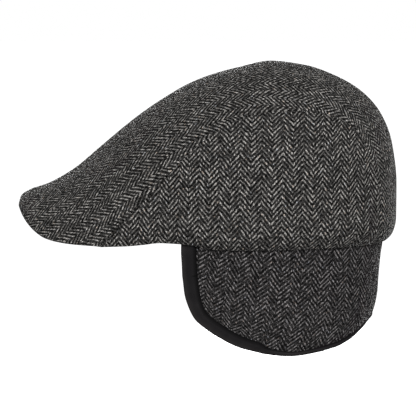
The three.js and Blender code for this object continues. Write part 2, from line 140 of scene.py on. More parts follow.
# Sections across the top panel from the peak's tip to the nape; the edge has a kink where the peak's rim ends
FOOT = 5
TOP_SECTIONS = Table(
    ("ridge_y", "ridge_z", "edge_x", "edge_y", "edge_z", "arc"),
    (
        (-159.2, 26.6, 9, -158.9, 25.2, 62),
        (-157.4, 32.4, 24, -155.9, 20.4, 78),
        (-151, 36.8, 40, -149.6, 13.4, 74),
        (-138, 41.3, 52.5, -138, 6.2, 73),
        (-120, 51.4, 60, -120, 2.8, 78),
        (-99, 68.4, 66.3, -99, 1.6, 84),
        (-84, 81, 71, -82.2, 20.5, 79),
        (-69, 92.6, 72.6, -69, 33.5, 74),
        (-53, 103.4, 72.5, -55, 48, 67),
        (-35, 113.6, 71, -38, 66.5, 58),
        (-17, 120.6, 69, -19.5, 81.5, 52),
        (0, 125, 67, -2, 91, 48),
        (22, 129.3, 65.5, 20, 96.5, 46),
        (46, 126.1, 61.5, 45, 97.2, 45),
        (67, 118.9, 56.5, 64, 93.6, 42),
        (86, 108.2, 52, 80, 84.2, 41),
        (101.5, 91, 49.5, 90.5, 68.3, 38),
        (109.3, 71, 48, 96.1, 52, 34),
        (112.6, 42, 46.5, 99.6, 35, 30),
        (112.4, 17, 45, 100.8, 17, 28),
        (109.8, 6, 41.6, 99.8, 5.6, 26),
        (104.8, 0.4, 37, 94.9, 0.4, 25),
    ),
    kinked=("edge_x", "edge_y", "edge_z"),
    corner=FOOT,
)
LAST_SECTION = len(TOP_SECTIONS.rows) - 1

# How much wider the top panel's cloth lies than its form, section by section: it was eased in towards the tip
TOP_EASE = Table(
    ("section", "width", "bow"),
    (
        (0, 1.45, 0.0012),
        (2.5, 1.38, 0.0012),
        (4.7, 1.28, 0.0013),
        (6.4, 1.18, 0.0013),
        (8.4, 1.12, 0.0008),
        (11, 1.10, 0.0002),
        (14, 1.07, 0),
        (21, 1.04, 0),
    ),
    axis="section",
)

# Lines down the side panel, one for each section of the top panel from FOOT on
SIDE_LINES = Table(
    ("rim_angle", "rim_out", "rim_z", "tuck_depth", "tuck_height", "wall_z"),
    (
        (-51.6, 22.9, 1.2, 0.3, 0.4, 1.6),
        (-43.8, 14.6, 1.8, 1, 2.5, 8),
        (-37.3, 10.4, 3.2, 1.6, 4, 12),
        (-30.2, 6.8, 4.8, 2.2, 5, 15),
        (-21, 4.7, 4.2, 3, 7, 17),
        (-10.6, 2.3, 0.8, 4.8, 9.5, 19),
        (-1, 1.8, 0.3, 6, 10.5, 22),
        (11.4, 1.8, 0.3, 6.6, 11, 25),
        (26.2, 1.8, 0.3, 7.4, 11, 28),
        (38.6, 1.8, 0.3, 7.8, 11, 28),
        (49, 1.8, 0.3, 8, 11, 28),
        (55.5, 1.8, 0.3, 8, 11, 26),
        (58.6, 1.8, 0.3, 8, 11, 22),
        (60.6, 1.8, 0.3, 8, 11, 16),
        (61.4, 1.8, 0.3, 8, 11, 10),
        (62.4, 1.8, 0.3, 8, 11, 3.6),
        (63.3, 1.8, 0.3, 8, 11, 0.5),
    ),
    first=FOOT,
)

# Straight lines across the peak board, from its rim to the forehead
PEAK_LINES = Table(
    ("rim_x", "rim_y", "rim_z", "head_angle", "head_z"),
    (
        (0, -155.6, 28.6, 0, 50.4),
        (19, -153.6, 25, 14, 47.6),
        (34.5, -148, 18.4, 26, 41.6),
        (47, -136.5, 9.6, 36.5, 31),
        (53.2, -123, 6.2, 42.3, 24.6),
        (57.4, -109, 4.8, 46.2, 20),
        (63.4, -89, 4.2, 52.2, 15),
        (69.6, -68, 6.6, 60, 12.6),
        (73, -56, 8, 64, 11.6),
    ),
)

# How far the flap closes in at a height below the rim
FLAP_TAPER = Table(
    ("z", "width", "length"),
    (
        (-78, 6.5, 10.2),
        (-60, 4.6, 6.6),
        (-43, 3, 4),
        (-26, 1.8, 3.1),
        (-10, 0.7, 1.4),
        (0, 0, 0),
        (12, 0, 0),
    ),
    axis="z",
)

# Lines down the flap from the temple to the nape, which is at 90 degrees
FLAP_LINES = Table(
    ("top_angle", "edge_angle", "edge_z"),
    (
        (-23.1, -23.3, -18),
        (-20.2, -22.6, -30),
        (-16.4, -21, -39),
        (-12, -18.4, -47.5),
        (-6.5, -12.8, -55.5),
        (-0.5, -4.8, -63.6),
        (8, 5, -69.6),
        (24, 23, -74),
        (44, 43.7, -70.6),
        (60, 60, -63.6),
        (75, 75, -55.8),
        (90, 90, -51.6),
    ),
)
FLAP_EDGE = Table(FLAP_LINES.columns, FLAP_LINES.rows, axis="edge_angle")
NAPE = len(FLAP_LINES.rows) - 1

# How much of the tape shows outside along the flap's edge, from the temple (0) to the nape, and how far it
# stands off the cloth there, as a share of its full thickness
TAPE_SHOWS = Table(
    ("line", "shows", "stands"),
    (
        (0, 11.6, 1),
        (1, 11.6, 1),
        (2, 10.9, 1),
        (3, 10.2, 1),
        (4, 9.7, 1),
        (5, 9.1, 1),
        (6.1, 8.2, 1),
        (6.5, 4.8, 1),
        (7, 3.9, 1),
        (8, 4.6, 0.9),
        (9, 4.1, 0.55),
        (10, 2.8, 0.3),
        (11, 2.4, 0.25),
    ),
    axis="line",
)


def unit(vectors: Array) -> Array:
    """Vectors of the last axis at length 1."""
    return vectors / np.maximum(np.linalg.norm(vectors, axis=-1, keepdims=True), TINY)


def points(x: Any, y: Any, z: Any) -> Array:
    """Arrays of x, y and z as one array of points."""
    return np.stack(np.broadcast_arrays(x, y, z), axis=-1).astype(float)


def smooth_step(value: Array, low: float, high: float) -> Array:
    """0 below low, 1 above high, and three squares less two cubes between them."""
    x = np.clip((value - low) / (high - low), 0, 1)
    return x * x * (3 - 2 * x)


def outward_normals(grid: Array) -> Array:
    """Normals of a grid, from differences of neighbours, turned away from the middle of the crown.

    Args:
        grid: the places of its points.

    Returns:
        One unit normal for each point.
    """
    normals = unit(np.cross(np.gradient(grid, axis=0), np.gradient(grid, axis=1)))
    i, j = grid.shape[0] // 2, grid.shape[1] // 2
    return normals * np.sign(np.dot(grid[i, j] - INSIDE, normals[i, j]))


def run(grid: Array, axis: int) -> Array:
    """Length along the lines of a grid, from 0 at their start, as the sum of the steps.

    Args:
        grid: the places of its points.
        axis: the axis of the grid that the lines follow.

    Returns:
        The length at each point.
    """
    steps = np.linalg.norm(np.diff(grid, axis=axis), axis=-1)
    start = np.zeros_like(np.take(steps, [0], axis=axis))
    return np.concatenate([start, np.cumsum(steps, axis=axis)], axis=axis)


def between(grid: Array, i: Array, j: Array, u: Array, v: Array) -> Array:
    """Values inside the cells of a grid that starts again where it ends.

    Args:
        grid: the values at the corners of the cells.
        i: row of each cell.
        j: column of each cell.
        u: share of the way to the next row.
        v: share of the way to the next column.

    Returns:
        The values, straight along the rows and then straight between the rows.
    """
    rows, columns = grid.shape[:2]
    near, far = (
        grid[i % rows, k % columns] * (1 - u) + grid[(i + 1) % rows, k % columns] * u for k in (j, j + 1)
    )
    return near * (1 - v) + far * v


@dataclass(frozen=True)
class Waves:
    """Smooth random height: values on a square lattice, joined by smooth steps; lengths in millimetres."""

    height: float
    length: float
    seed: int
    size: int = 64

    def at(self, u: Array, v: Any = 0.0) -> Array:
        """The height at a place, which lies u and v along the lattice.

        Args:
            u: distance along it.
            v: distance across it.

        Returns:
            The height.
        """
        lattice = np.random.default_rng(self.seed).uniform(-1, 1, (self.size, self.size))
        x, y = np.broadcast_arrays(np.asarray(u) / self.length, np.asarray(v) / self.length)
        i, j = np.floor(x).astype(int), np.floor(y).astype(int)
        return self.height * between(lattice, i, j, smooth_step(x - i, 0, 1), smooth_step(y - j, 0, 1))


def spring(gap: Array, rest: Array) -> Array:
    """How far springs of length rest pull both their ends together over a gap, half of it at each."""
    length = np.linalg.norm(gap, axis=-1)
    return gap * ((length - rest) / np.maximum(length, TINY) / 2)[..., None]


def settled(flat: Array, pulls: Any, rounds: int, rate: float) -> Array:
    """A flat grid whose points have moved, round after round, by the mean of what their neighbours ask for.

    Args:
        flat: the grid at the start.
        pulls: for each kind of neighbours, the slices of the ones and of the others, and the pull of a gap.
        rounds: how many rounds.
        rate: share of the mean pull that a point follows.

    Returns:
        The grid at the end.
    """
    count = np.zeros(flat.shape[:2] + (1,))
    for a, b, _ in pulls:
        count[a] += 1
        count[b] += 1
    for _ in range(rounds):
        move = np.zeros_like(flat)
        for a, b, pull in pulls:
            pulled = pull(flat[b] - flat[a])
            move[a] += pulled
            move[b] -= pulled
        flat = flat + rate * move / count
    return flat


def turn(distance: Array, reach: float) -> Array:
    """Fall of a turned-in edge, a quarter circle: 1 at the edge and 0 from the distance reach on."""
    return 1 - np.sqrt(1 - np.clip(1 - distance / reach, 0, 1) ** 2)


def spaced_places(length: float, step: float) -> Array:
    """Places from 0 to length: the edge lines at both ends and even steps between them.

    Args:
        length: the length to fill, in millimetres.
        step: about how long an even step is, in millimetres.

    Returns:
        The places, rising.
    """
    last = EDGE_LINES[-1]
    middle = np.linspace(last, length - last, round((length - 2 * last) / step) + 1)
    return np.concatenate([EDGE_LINES[:-1], middle, length - EDGE_LINES[-2::-1]])


def edge_shares(length: Array, most: float) -> Array:
    """The edge lines as shares of a length, drawn together where they would take more than the share most."""
    return EDGE_LINES * np.minimum(1, most * length / EDGE_LINES[-1]) / length


def crowded(count: int, start: float = 0.0) -> Array:
    """Shares from start to 1 of the way down the flap, closer together towards its edge."""
    return 1 - (1 - np.linspace(start, 1, count)) ** EDGE_CROWDING


def mirrored(grid: Array, side: Array) -> Array:
    """Points with x multiplied by the side, 1 or -1."""
    return grid * points(side, 1.0, 1.0)


@dataclass(frozen=True)
class FlatPattern:
    """Where the points of a surface's grid lie in the flat cloth, in millimetres."""

    places: Array

    @classmethod
    def relaxed(cls, surface: Array, rounds: int = 1400) -> "FlatPattern":
        """A surface laid flat: springs between its points are let go until they have nearly their lengths.

        The grid starts from the lengths along the middle row and column.

        Args:
            surface: the grid of points.
            rounds: how many times the springs pull.

        Returns:
            The pattern.
        """
        rows, columns = surface.shape[:2]
        across, along = run(surface, 1), run(surface, 0)
        u = across - across[:, columns // 2][:, None]
        v = np.repeat(along[:, columns // 2][:, None], columns, axis=1)
        flat = np.stack([u, v - v[rows // 2]], axis=-1)
        rests = [np.linalg.norm(surface[a] - surface[b], axis=-1) for a, b in LINES + DIAGONALS]
        pulls = [(a, b, partial(spring, rest=rest)) for (a, b), rest in zip(LINES + DIAGONALS, rests)]
        return cls(settled(flat, pulls, rounds, SPRING_RATE))

    @classmethod
    def hung(cls, surface: Array, rounds: int = 1400) -> "FlatPattern":
        """A surface whose threads hang upright and lie level as seen from the cap's side, where it was eased.

        Every step of the grid has its own step on the cloth. The places are the running sums of these steps,
        evened out over the grid.

        Args:
            surface: the grid of points.
            rounds: how many times the steps are evened out.

        Returns:
            The pattern.
        """
        normal = outward_normals(surface)
        steps = [cls.thread_step(surface[b] - surface[a], unit(normal[a] + normal[b])) for a, b in LINES]
        flat = np.zeros(surface.shape[:2] + (2,))
        flat[:, 1:] += np.cumsum(steps[1], axis=1)
        flat[1:] += np.cumsum(steps[0][:, :1], axis=0)
        pulls = [(a, b, lambda gap, step=step: gap - step) for (a, b), step in zip(LINES, steps)]
        flat = settled(flat, pulls, rounds, STEP_RATE)
        return cls(flat - flat[flat.shape[0] // 2, flat.shape[1] // 2])

    @staticmethod
    def thread_step(step: Array, normal: Array) -> Array:
        """Lengths across and along the weave of steps on the surface.

        They are the lengths of level and upright threads that look so from the side; where the surface faces
        down, the two threads are square to each other.

        Args:
            step: the steps.
            normal: the surface's normals there.

        Returns:
            Both lengths of each step.
        """
        level = unit(points(-normal[..., 1], normal[..., 0], 0.0))
        steep = np.cross(normal, level)
        square = np.stack([np.sum(step * level, axis=-1), np.sum(step * steep, axis=-1)], axis=-1)
        facing = np.maximum(normal[..., 0], LEAST_FACING)
        seen = np.stack([step[..., k] * np.hypot(facing, normal[..., k]) / facing for k in (1, 2)], axis=-1)
        return np.where(normal[..., 2:] < 0, square, seen)

    def at(self, row: Array, column: Array) -> Array:
        """The flat place at any place of the grid, straight between its points.

        Args:
            row: share of the way along the rows, from 0 to 1.
            column: share of the way along the columns.

        Returns:
            The flat places.
        """
        rows, columns = self.places.shape[:2]
        x, y = np.broadcast_arrays(np.clip(row, 0, 1) * (rows - 1), np.clip(column, 0, 1) * (columns - 1))
        i, j = np.minimum(x.astype(int), rows - 2), np.minimum(y.astype(int), columns - 2)
        return between(self.places, i, j, (x - i)[..., None], (y - j)[..., None])

    def leaning(self, degrees: float) -> "FlatPattern":
        """The pattern with its upright threads leaning by an angle, and the level ones as they are."""
        u, v = self.places[..., 0], self.places[..., 1]
        return FlatPattern(np.stack([u - math.tan(math.radians(degrees)) * v, v], axis=-1))

    def bent(self, bend: float) -> "FlatPattern":
        """The pattern bent sideways about its middle column.

        Args:
            bend: the angle, in radians per millimetre.

        Returns:
            The bent pattern.
        """
        middle = self.places[:, self.places.shape[1] // 2].mean(axis=0)
        u, v = self.places[..., 0] - middle[0], self.places[..., 1] - middle[1]
        return FlatPattern(np.stack([u * (1 - bend * v), v + bend * u * u / 2], axis=-1))


def mesh_object(
    name: str, vertices: Array, faces: Array, flat: Array, fold: Array | None = None
) -> Object:
    """An object from arrays, with its faces turned outwards and shaded smooth.

    Args:
        name: the object's name.
        vertices: points in metres.
        faces: quads.
        flat: the UVs of each vertex.
        fold: nearness to a fold, from 0 to 1, for each vertex.

    Returns:
        The object.
    """
    a, b, c, d = (vertices[faces[:, k]] for k in range(4))
    volume = np.sum(a * np.cross(b, c)) + np.sum(a * np.cross(c, d))
    if volume < 0:
        faces = faces[:, ::-1]
    mesh = bpy.data.meshes.new(name)
    mesh.from_pydata(vertices.tolist(), [], faces.tolist())
    corners = np.empty(len(mesh.loops), dtype=np.int32)
    mesh.loops.foreach_get("vertex_index", corners)
    mesh.uv_layers.new(name="Cloth").data.foreach_set("uv", flat[corners].ravel())
    mesh.polygons.foreach_set("use_smooth", np.ones(len(mesh.polygons), dtype=bool))
    if fold is not None:
        mesh.attributes.new("fold", "FLOAT", "POINT").data.foreach_set("value", fold)
    mesh.update()
    piece = bpy.data.objects.new(name, mesh)
    bpy.context.scene.collection.objects.link(piece)
    return piece


def dress(piece: Object, node: str, finish: Material) -> None:
    """Gives a piece its finish, and lets it stand for a node of the cap's one body.

    Args:
        piece: the piece.
        node: the solid that it replaces.
        finish: the finish.
    """
    piece.data.materials.append(finish)
    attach(piece, "root")
    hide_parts(node)
    LOG.info("%s: %d faces", piece.name, len(piece.data.polygons))


@dataclass
class ClothWall:
    """A closed piece of cloth between an outer and an inner grid of points, in millimetres."""

    outer: Array
    inner: Array
    flat: Array

    def faces(self) -> Array:
        """Quads of the two faces and of the narrow wall round their rim."""
        rows, columns = self.outer.shape[:2]
        index = np.arange(rows * columns).reshape(rows, columns)
        far = rows * columns
        face = np.stack([index[:-1, :-1], index[:-1, 1:], index[1:, 1:], index[1:, :-1]], axis=-1)
        face = face.reshape(-1, 4)
        rim = np.concatenate([index[0, :-1], index[:-1, -1], index[-1, :0:-1], index[:0:-1, 0]])
        ahead = np.roll(rim, -1)
        wall = np.stack([rim, far + rim, far + ahead, ahead], axis=-1)
        return np.concatenate([face, far + face[:, ::-1], wall])

    def inner_flat(self) -> Array:
        """Flat places of the inner face; its rim lies further out, by the thickness of the wall round it."""
        flat = self.flat.copy()
        thick = np.linalg.norm(self.outer - self.inner, axis=-1, keepdims=True)
        for rim, next_to_it in ((0, 1), (-1, -2)):
            flat[rim] += unit(self.flat[rim] - self.flat[next_to_it]) * thick[rim]
            flat[:, rim] += unit(self.flat[:, rim] - self.flat[:, next_to_it]) * thick[:, rim]
        return flat

    def build(self, name: str, side: int = 1) -> Object:
        """The piece as an object, with its flat places as UVs in metres.

        Args:
            name: the object's name.
            side: 1 as it is, -1 mirrored to the wearer's right.

        Returns:
            The object, with its faces outwards and shaded smooth.
        """
        vertices = np.concatenate([self.outer.reshape(-1, 3), self.inner.reshape(-1, 3)])
        vertices = vertices * np.array([side, 1, 1]) * MM
        flat = np.concatenate([self.flat.reshape(-1, 2), self.inner_flat().reshape(-1, 2)]) * MM
        return mesh_object(name, vertices, self.faces(), flat)


@dataclass
class CrownCloth:
    """What the cloths of the crown share: soft waves, puckers along the seam, and edges that turn in."""

    lip_reach: float = 1.3
    lip_thins: float = 0.45
    seam_fall: float = 0.95
    seam_reach: float = 1.6
    closing_reach: float = 0.7
    edge_share: float = 0.35
    waves: Waves = Waves(0.35, 34.0, 3)
    calm_reach: float = 14.0
    puckers: Waves = Waves(0.1, 6.5, 5)
    pucker_reach: float = 6.0

    def rise(
        self, flat: Array, edge: Array, seam: Array, seam_run: Array, sewn: Any = 1.0
    ) -> Array:
        """How far soft waves, which calm down at the edges, and puckers along the seam raise the face.

        Args:
            flat: flat places of the grid.
            edge: distance from the nearest edge.
            seam: distance from the seam; the puckers fade from it as an exponential.
            seam_run: place along the seam.
            sewn: how fully the cloth is sewn there, from 0 to 1.

        Returns:
            The rise of each point, with an axis of length 1 at the end.
        """
        waves = self.waves.at(flat[..., 0], flat[..., 1]) * smooth_step(edge, 0, self.calm_reach)
        puckers = self.puckers.at(seam_run) * sewn * np.exp(-seam / self.pucker_reach)
        return (waves + puckers)[..., None]

    def wall(
        self,
        face: Array,
        normals: Array,
        flat: Array,
        lip: Array,
        seam: Array,
        sewn: Array,
        way: Any,
    ) -> ClothWall:
        """The cloth with its edges turned in: both faces at a free lip, and the outer face down into a seam.

        Args:
            face: grid of points of the outer face, before its edges turn.
            normals: outward normals of the face.
            flat: flat places of the grid.
            lip: nearness to a free edge, from 0 to 1.
            seam: distance from the seam.
            sewn: how fully the cloth is sewn there, from 0 to 1.
            way: which way along its lines the cloth moves to close the seam, 1 or -1.

        Returns:
            The cloth.
        """
        fall = np.maximum(CROWN_CLOTH / 2 * lip, self.seam_fall * sewn * turn(seam, self.seam_reach))
        depth = CROWN_CLOTH * (1 - self.lip_thins * lip)
        shift = SEAM_GAP / 2 * sewn * turn(seam, self.closing_reach) * way
        face = face + shift[..., None] * unit(np.gradient(face, axis=1))
        return ClothWall(face - normals * fall[..., None], face - normals * depth[..., None], flat)


@dataclass
class TopPanel(CrownCloth):
    """The long upper cloth, from the peak's rim over the crown to the nape."""

    row_step: float = 1.5
    half_columns: int = 56
    measured_columns: int = 40
    fine: int = 2000
    pattern_rows: int = 106
    pattern_columns: int = 45
    foot_blend: float = 0.2

    def surface(self, t: Array, across: Any) -> Array:
        """Point of the panel: x goes as the arc's sine, and the fall from the ridge as one less its cosine.

        Args:
            t: section, from the tip to the nape.
            across: from the left edge (1) to the right edge (-1).

        Returns:
            The points.
        """
        arc = np.radians(TOP_SECTIONS.at("arc", t))
        drop = (1 - np.cos(across * arc)) / (1 - np.cos(arc))
        ridge_y, ridge_z = TOP_SECTIONS.at("ridge_y", t), TOP_SECTIONS.at("ridge_z", t)
        return points(
            TOP_SECTIONS.at("edge_x", t) * np.sin(across * arc) / np.sin(arc),
            ridge_y + (TOP_SECTIONS.at("edge_y", t) - ridge_y) * drop,
            ridge_z + (TOP_SECTIONS.at("edge_z", t) - ridge_z) * drop,
        )

    def run_at(self, across: float) -> tuple[Array, Array]:
        """Fine sections, and the length from the tip to each of them along a line down the panel."""
        t = np.linspace(0, LAST_SECTION, self.fine)
        return t, run(self.surface(t, across)[None], 1)[0]

    def seam_run(self, t: Array) -> Array:
        """Length along the panel's edge at section t, from the tip."""
        return np.interp(t, *self.run_at(1.0))

    def sections(self) -> Array:
        """Places of the grid's rows: nearly even along the ridge, close at both ends, and one at the foot."""
        fine, length = self.run_at(0.0)
        t = np.interp(spaced_places(length[-1], self.row_step), length, fine)
        t[np.argmin(abs(t - FOOT))] = FOOT
        return t

    def pattern(self) -> FlatPattern:
        """The panel laid flat, with its centre line along the weave, and then let out by its ease."""
        t = np.linspace(0, LAST_SECTION, self.pattern_rows)[:, None]
        laid = FlatPattern.relaxed(self.surface(t, np.linspace(-1, 1, self.pattern_columns)[None])).places
        u, v = laid[..., 0], laid[..., 1]
        width, bow = TOP_EASE.at("width", t), TOP_EASE.at("bow", t)
        return FlatPattern(np.stack([u * width, v + bow * u * u], axis=-1))

    def places_across(self, t: Array) -> Array:
        """Places of the grid's columns on each row: even in the middle, and close at both edges.

        Args:
            t: sections of the rows, as a column.

        Returns:
            The places, from -1 to 1.
        """
        half = run(self.surface(t, np.linspace(0, 1, self.measured_columns)[None]), 1)[:, -1:]
        edge = edge_shares(half, self.edge_share)
        middle = np.linspace(0, 1, self.half_columns)[None] * (1 - edge[:, -1:])
        left = np.concatenate([middle, 1 - edge[:, -2::-1]], axis=1)
        return np.concatenate([-left[:, :0:-1], left], axis=1)

    def build(self, finish: Material) -> Object:
        """The dressed panel, sewn behind the foot and with a round lip on the peak's rim and at the nape.

        Args:
            finish: the cloth's material.

        Returns:
            The piece.
        """
        t = self.sections()[:, None]
        across = self.places_across(t)
        face = self.surface(t, across)
        length, ends = run(face, 1), run(face, 0)
        side = np.minimum(length, length[:, -1:] - length)
        end = np.minimum(ends, ends[-1:] - ends)
        sewn = smooth_step(t, FOOT - self.foot_blend, FOOT + self.foot_blend)
        pattern = self.pattern()
        flat = pattern.at(t / LAST_SECTION, (across + 1) / 2)
        normals = outward_normals(face)
        face = face + normals * self.rise(flat, np.minimum(side, end), side, self.seam_run(t), sewn)
        lip = np.maximum(turn(end, self.lip_reach), (1 - sewn) * turn(side, self.lip_reach))
        wall = self.wall(face, normals, flat, lip, side, sewn, np.sign(across))
        piece = wall.build("cloth_top_panel")
        dress(piece, "top_panel", finish)
        return piece


@dataclass(kw_only=True)
class SidePanel(CrownCloth):
    """One side cloth of the crown, from the curved seam to the rim that closes on the flap."""

    top: TopPanel
    rows: int = 210
    wall_columns: int = 44
    straight_columns: int = 6
    tuck_columns: int = 14
    tuck_power: float = 1.3
    reach: float = 0.38
    small: float = 0.01
    lip_reach: float = 1.2
    edge_share: float = 0.5
    waves: Waves = Waves(0.35, 34.0, 11)
    lean: float = 1.7
    past_foot: float = 0.02
    short_of_nape: float = 0.12
    shortest: float = 9.0
    pattern_lines: int = 90
    pattern_places: int = 30

    def tuck(self, t: Array, height: Array) -> Array:
        """Point of a line's wall, or of the corner below it.

        The corner swings out from the flap's ellipse by the tuck's depth, as a rounded power of the height.

        Args:
            t: section of the top panel at which the line starts.
            height: height above the rim.

        Returns:
            The points.
        """
        angle = np.radians(SIDE_LINES.at("rim_angle", t))
        out = SIDE_LINES.at("rim_out", t)
        half_width, half_length = FLAP_HALF_WIDTH + out, FLAP_HALF_LENGTH + out
        z = SIDE_LINES.at("rim_z", t) + height
        rim = points(half_width * np.cos(angle), half_length * np.sin(angle), z)
        outward = unit(points(np.cos(angle) / half_width, np.sin(angle) / half_length, 0.0))
        rest = np.clip(1 - height / SIDE_LINES.at("tuck_height", t), 0, 1)
        swing = SIDE_LINES.at("tuck_depth", t) * (1 - rest**self.tuck_power) ** (1 / self.tuck_power)
        return rim + outward * swing[..., None]

    def sections(self, count: int) -> Array:
        """Places of the grid's lines along the seam, as a column."""
        return np.linspace(FOOT + self.past_foot, LAST_SECTION - self.short_of_nape, count)[:, None]

    def surface(self, t: Array, edge_lines: bool = False) -> Array:
        """The panel's grid: a cubic curve from the seam to the wall, the straight wall, and the corner.

        Args:
            t: sections of the top panel, as a column.
            edge_lines: whether the grid is close at the seam.

        Returns:
            Points by line and place on the line.
        """
        edge = self.top.surface(t, 1.0)
        across = unit(edge - self.top.surface(t, 1.0 - self.small))
        along = unit(self.top.surface(t + self.small, 1.0) - self.top.surface(t - self.small, 1.0))
        away = unit(across - along * np.sum(across * along, axis=-1, keepdims=True))
        seam = edge + away * SEAM_GAP
        wall_height = SIDE_LINES.at("wall_z", t) - SIDE_LINES.at("rim_z", t)
        wall = self.tuck(t, wall_height)
        wall_rise = unit(self.tuck(t, wall_height + self.small) - wall)
        reach = self.reach * np.linalg.norm(wall - seam, axis=-1, keepdims=True)
        share = np.linspace(0, 1, self.wall_columns)[None]
        if edge_lines:
            # The curve leaves the seam three times as fast as its handle is long
            close = edge_shares(3 * reach[..., 0], self.edge_share)
            share = np.concatenate([close[:, :-1], close[:, -1:] + share * (1 - close[:, -1:])], axis=1)
        b = share[..., None]
        c = 1 - b
        upper = c**3 * seam + 3 * c * c * b * (seam + across * reach)
        upper = upper + 3 * c * b * b * (wall + wall_rise * reach) + b**3 * wall
        corner = np.minimum(wall_height, SIDE_LINES.at("tuck_height", t))
        down = np.linspace(0, 1, self.straight_columns + 1)[None, 1:]
        bend = 1 - np.cos(np.linspace(np.pi / 2, 0, self.tuck_columns + 1)[None, 1:])
        heights = np.concatenate([wall_height + (corner - wall_height) * down, corner * bend], axis=1)
        return np.concatenate([upper, self.tuck(t, heights)], axis=1)

    def pattern(self) -> FlatPattern:
        """The panel laid flat, on even places along its lines, with its threads upright and level."""
        fine = self.surface(self.sections(self.pattern_lines))
        places = np.linspace(0, 1, self.pattern_places)
        even = [
            points(*(np.interp(places * row[-1], row, line[:, k]) for k in range(3)))
            for row, line in zip(run(fine, 1), fine)
        ]
        return FlatPattern.hung(np.stack(even, axis=1)).leaning(self.lean)

    def build(self, side: int, finish: Material) -> Object:
        """The dressed panel of one side.

        The first lines, at the foot, are too short to turn in at their edges; they take the first long one's
        normals.

        Args:
            side: 1 for the wearer's left, -1 for the right.
            finish: the cloth's material.

        Returns:
            The piece.
        """
        name = "side_panel_left" if side > 0 else "side_panel_right"
        t = self.sections(self.rows)
        face = self.surface(t, edge_lines=True)
        normals = outward_normals(face)
        length = run(face, 1)
        total = length[:, -1:]
        first = int(np.argmax(total[:, 0] > self.shortest))
        normals[:first] = normals[first]
        room = np.minimum(1, total / (2 * self.shortest))
        pattern = self.pattern()
        flat = pattern.at(length / total, (t - t[0]) / (t[-1] - t[0])) + np.array([CUT_PLACES[name], 0.0])
        edge = np.minimum(length, total - length)
        face = face + normals * self.rise(flat, edge, length, self.top.seam_run(t))
        wall = self.wall(face, normals, flat, room * turn(total - length, self.lip_reach), length, room, -1)
        piece = wall.build(f"cloth_{name}", side)
        dress(piece, name, finish)
        return piece


@dataclass
class Peak:
    """The stiff peak under the front of the top panel, faced with the same tweed below."""

    board: float = 4.0
    rim_share: float = 0.45
    round_reach: float = 3.0
    half_rows: int = 90
    columns: int = 40
    rim_crowding: float = 1.5
    pattern_skips: tuple[int, int] = (4, 2)
    pattern_rounds: int = 600

    def surface(self, line: Array, share: Array) -> Array:
        """Point on the board's middle: straight from its rim (share 0) to the head's ellipse (share 1).

        Args:
            line: place among the lines, negative on the wearer's right.
            share: share of the way in.

        Returns:
            The points.
        """
        side, place = np.sign(line), abs(line)
        angle = np.radians(PEAK_LINES.at("head_angle", place))
        x, y, z, head_z = (PEAK_LINES.at(name, place) for name in ("rim_x", "rim_y", "rim_z", "head_z"))
        head_x = (HEAD_HALF_WIDTH + FIT_GAP) * np.sin(angle)
        head_y = -(HEAD_HALF_LENGTH + FIT_GAP) * np.cos(angle)
        rim, head = points(side * x, y, z), points(side * head_x, head_y, head_z)
        return rim + (head - rim) * share[..., None]

    def build(self, finish: Material) -> Object:
        """The dressed peak: two faces at half the board's thickness, thinning to its rim on a quarter circle.

        Args:
            finish: the cloth's material.

        Returns:
            The piece.
        """
        last = len(PEAK_LINES.rows) - 1
        line = np.linspace(-last, last, 2 * self.half_rows + 1)[:, None]
        even = np.linspace(0, 1, self.columns)[None]
        middle = self.surface(line, even**self.rim_crowding)
        normals = unit(np.cross(np.gradient(middle, axis=0), np.gradient(middle, axis=1)))
        normals = normals * np.sign(normals[self.half_rows, self.columns // 2, 2])
        thin = (1 - self.rim_share) * turn(run(middle, 1), self.round_reach)
        half = (self.board / 2 * (1 - thin))[..., None]
        row_skip, column_skip = self.pattern_skips
        sparse = np.swapaxes(middle[::row_skip, ::column_skip], 0, 1)
        pattern = FlatPattern.relaxed(sparse, rounds=self.pattern_rounds)
        flat = pattern.at(even, (line - line[0]) / (line[-1] - line[0])) + np.array([CUT_PLACES["peak"], 0.0])
        piece = ClothWall(middle + normals * half, middle - normals * half, flat).build("faced_peak")
        dress(piece, "peak", finish)
        return piece


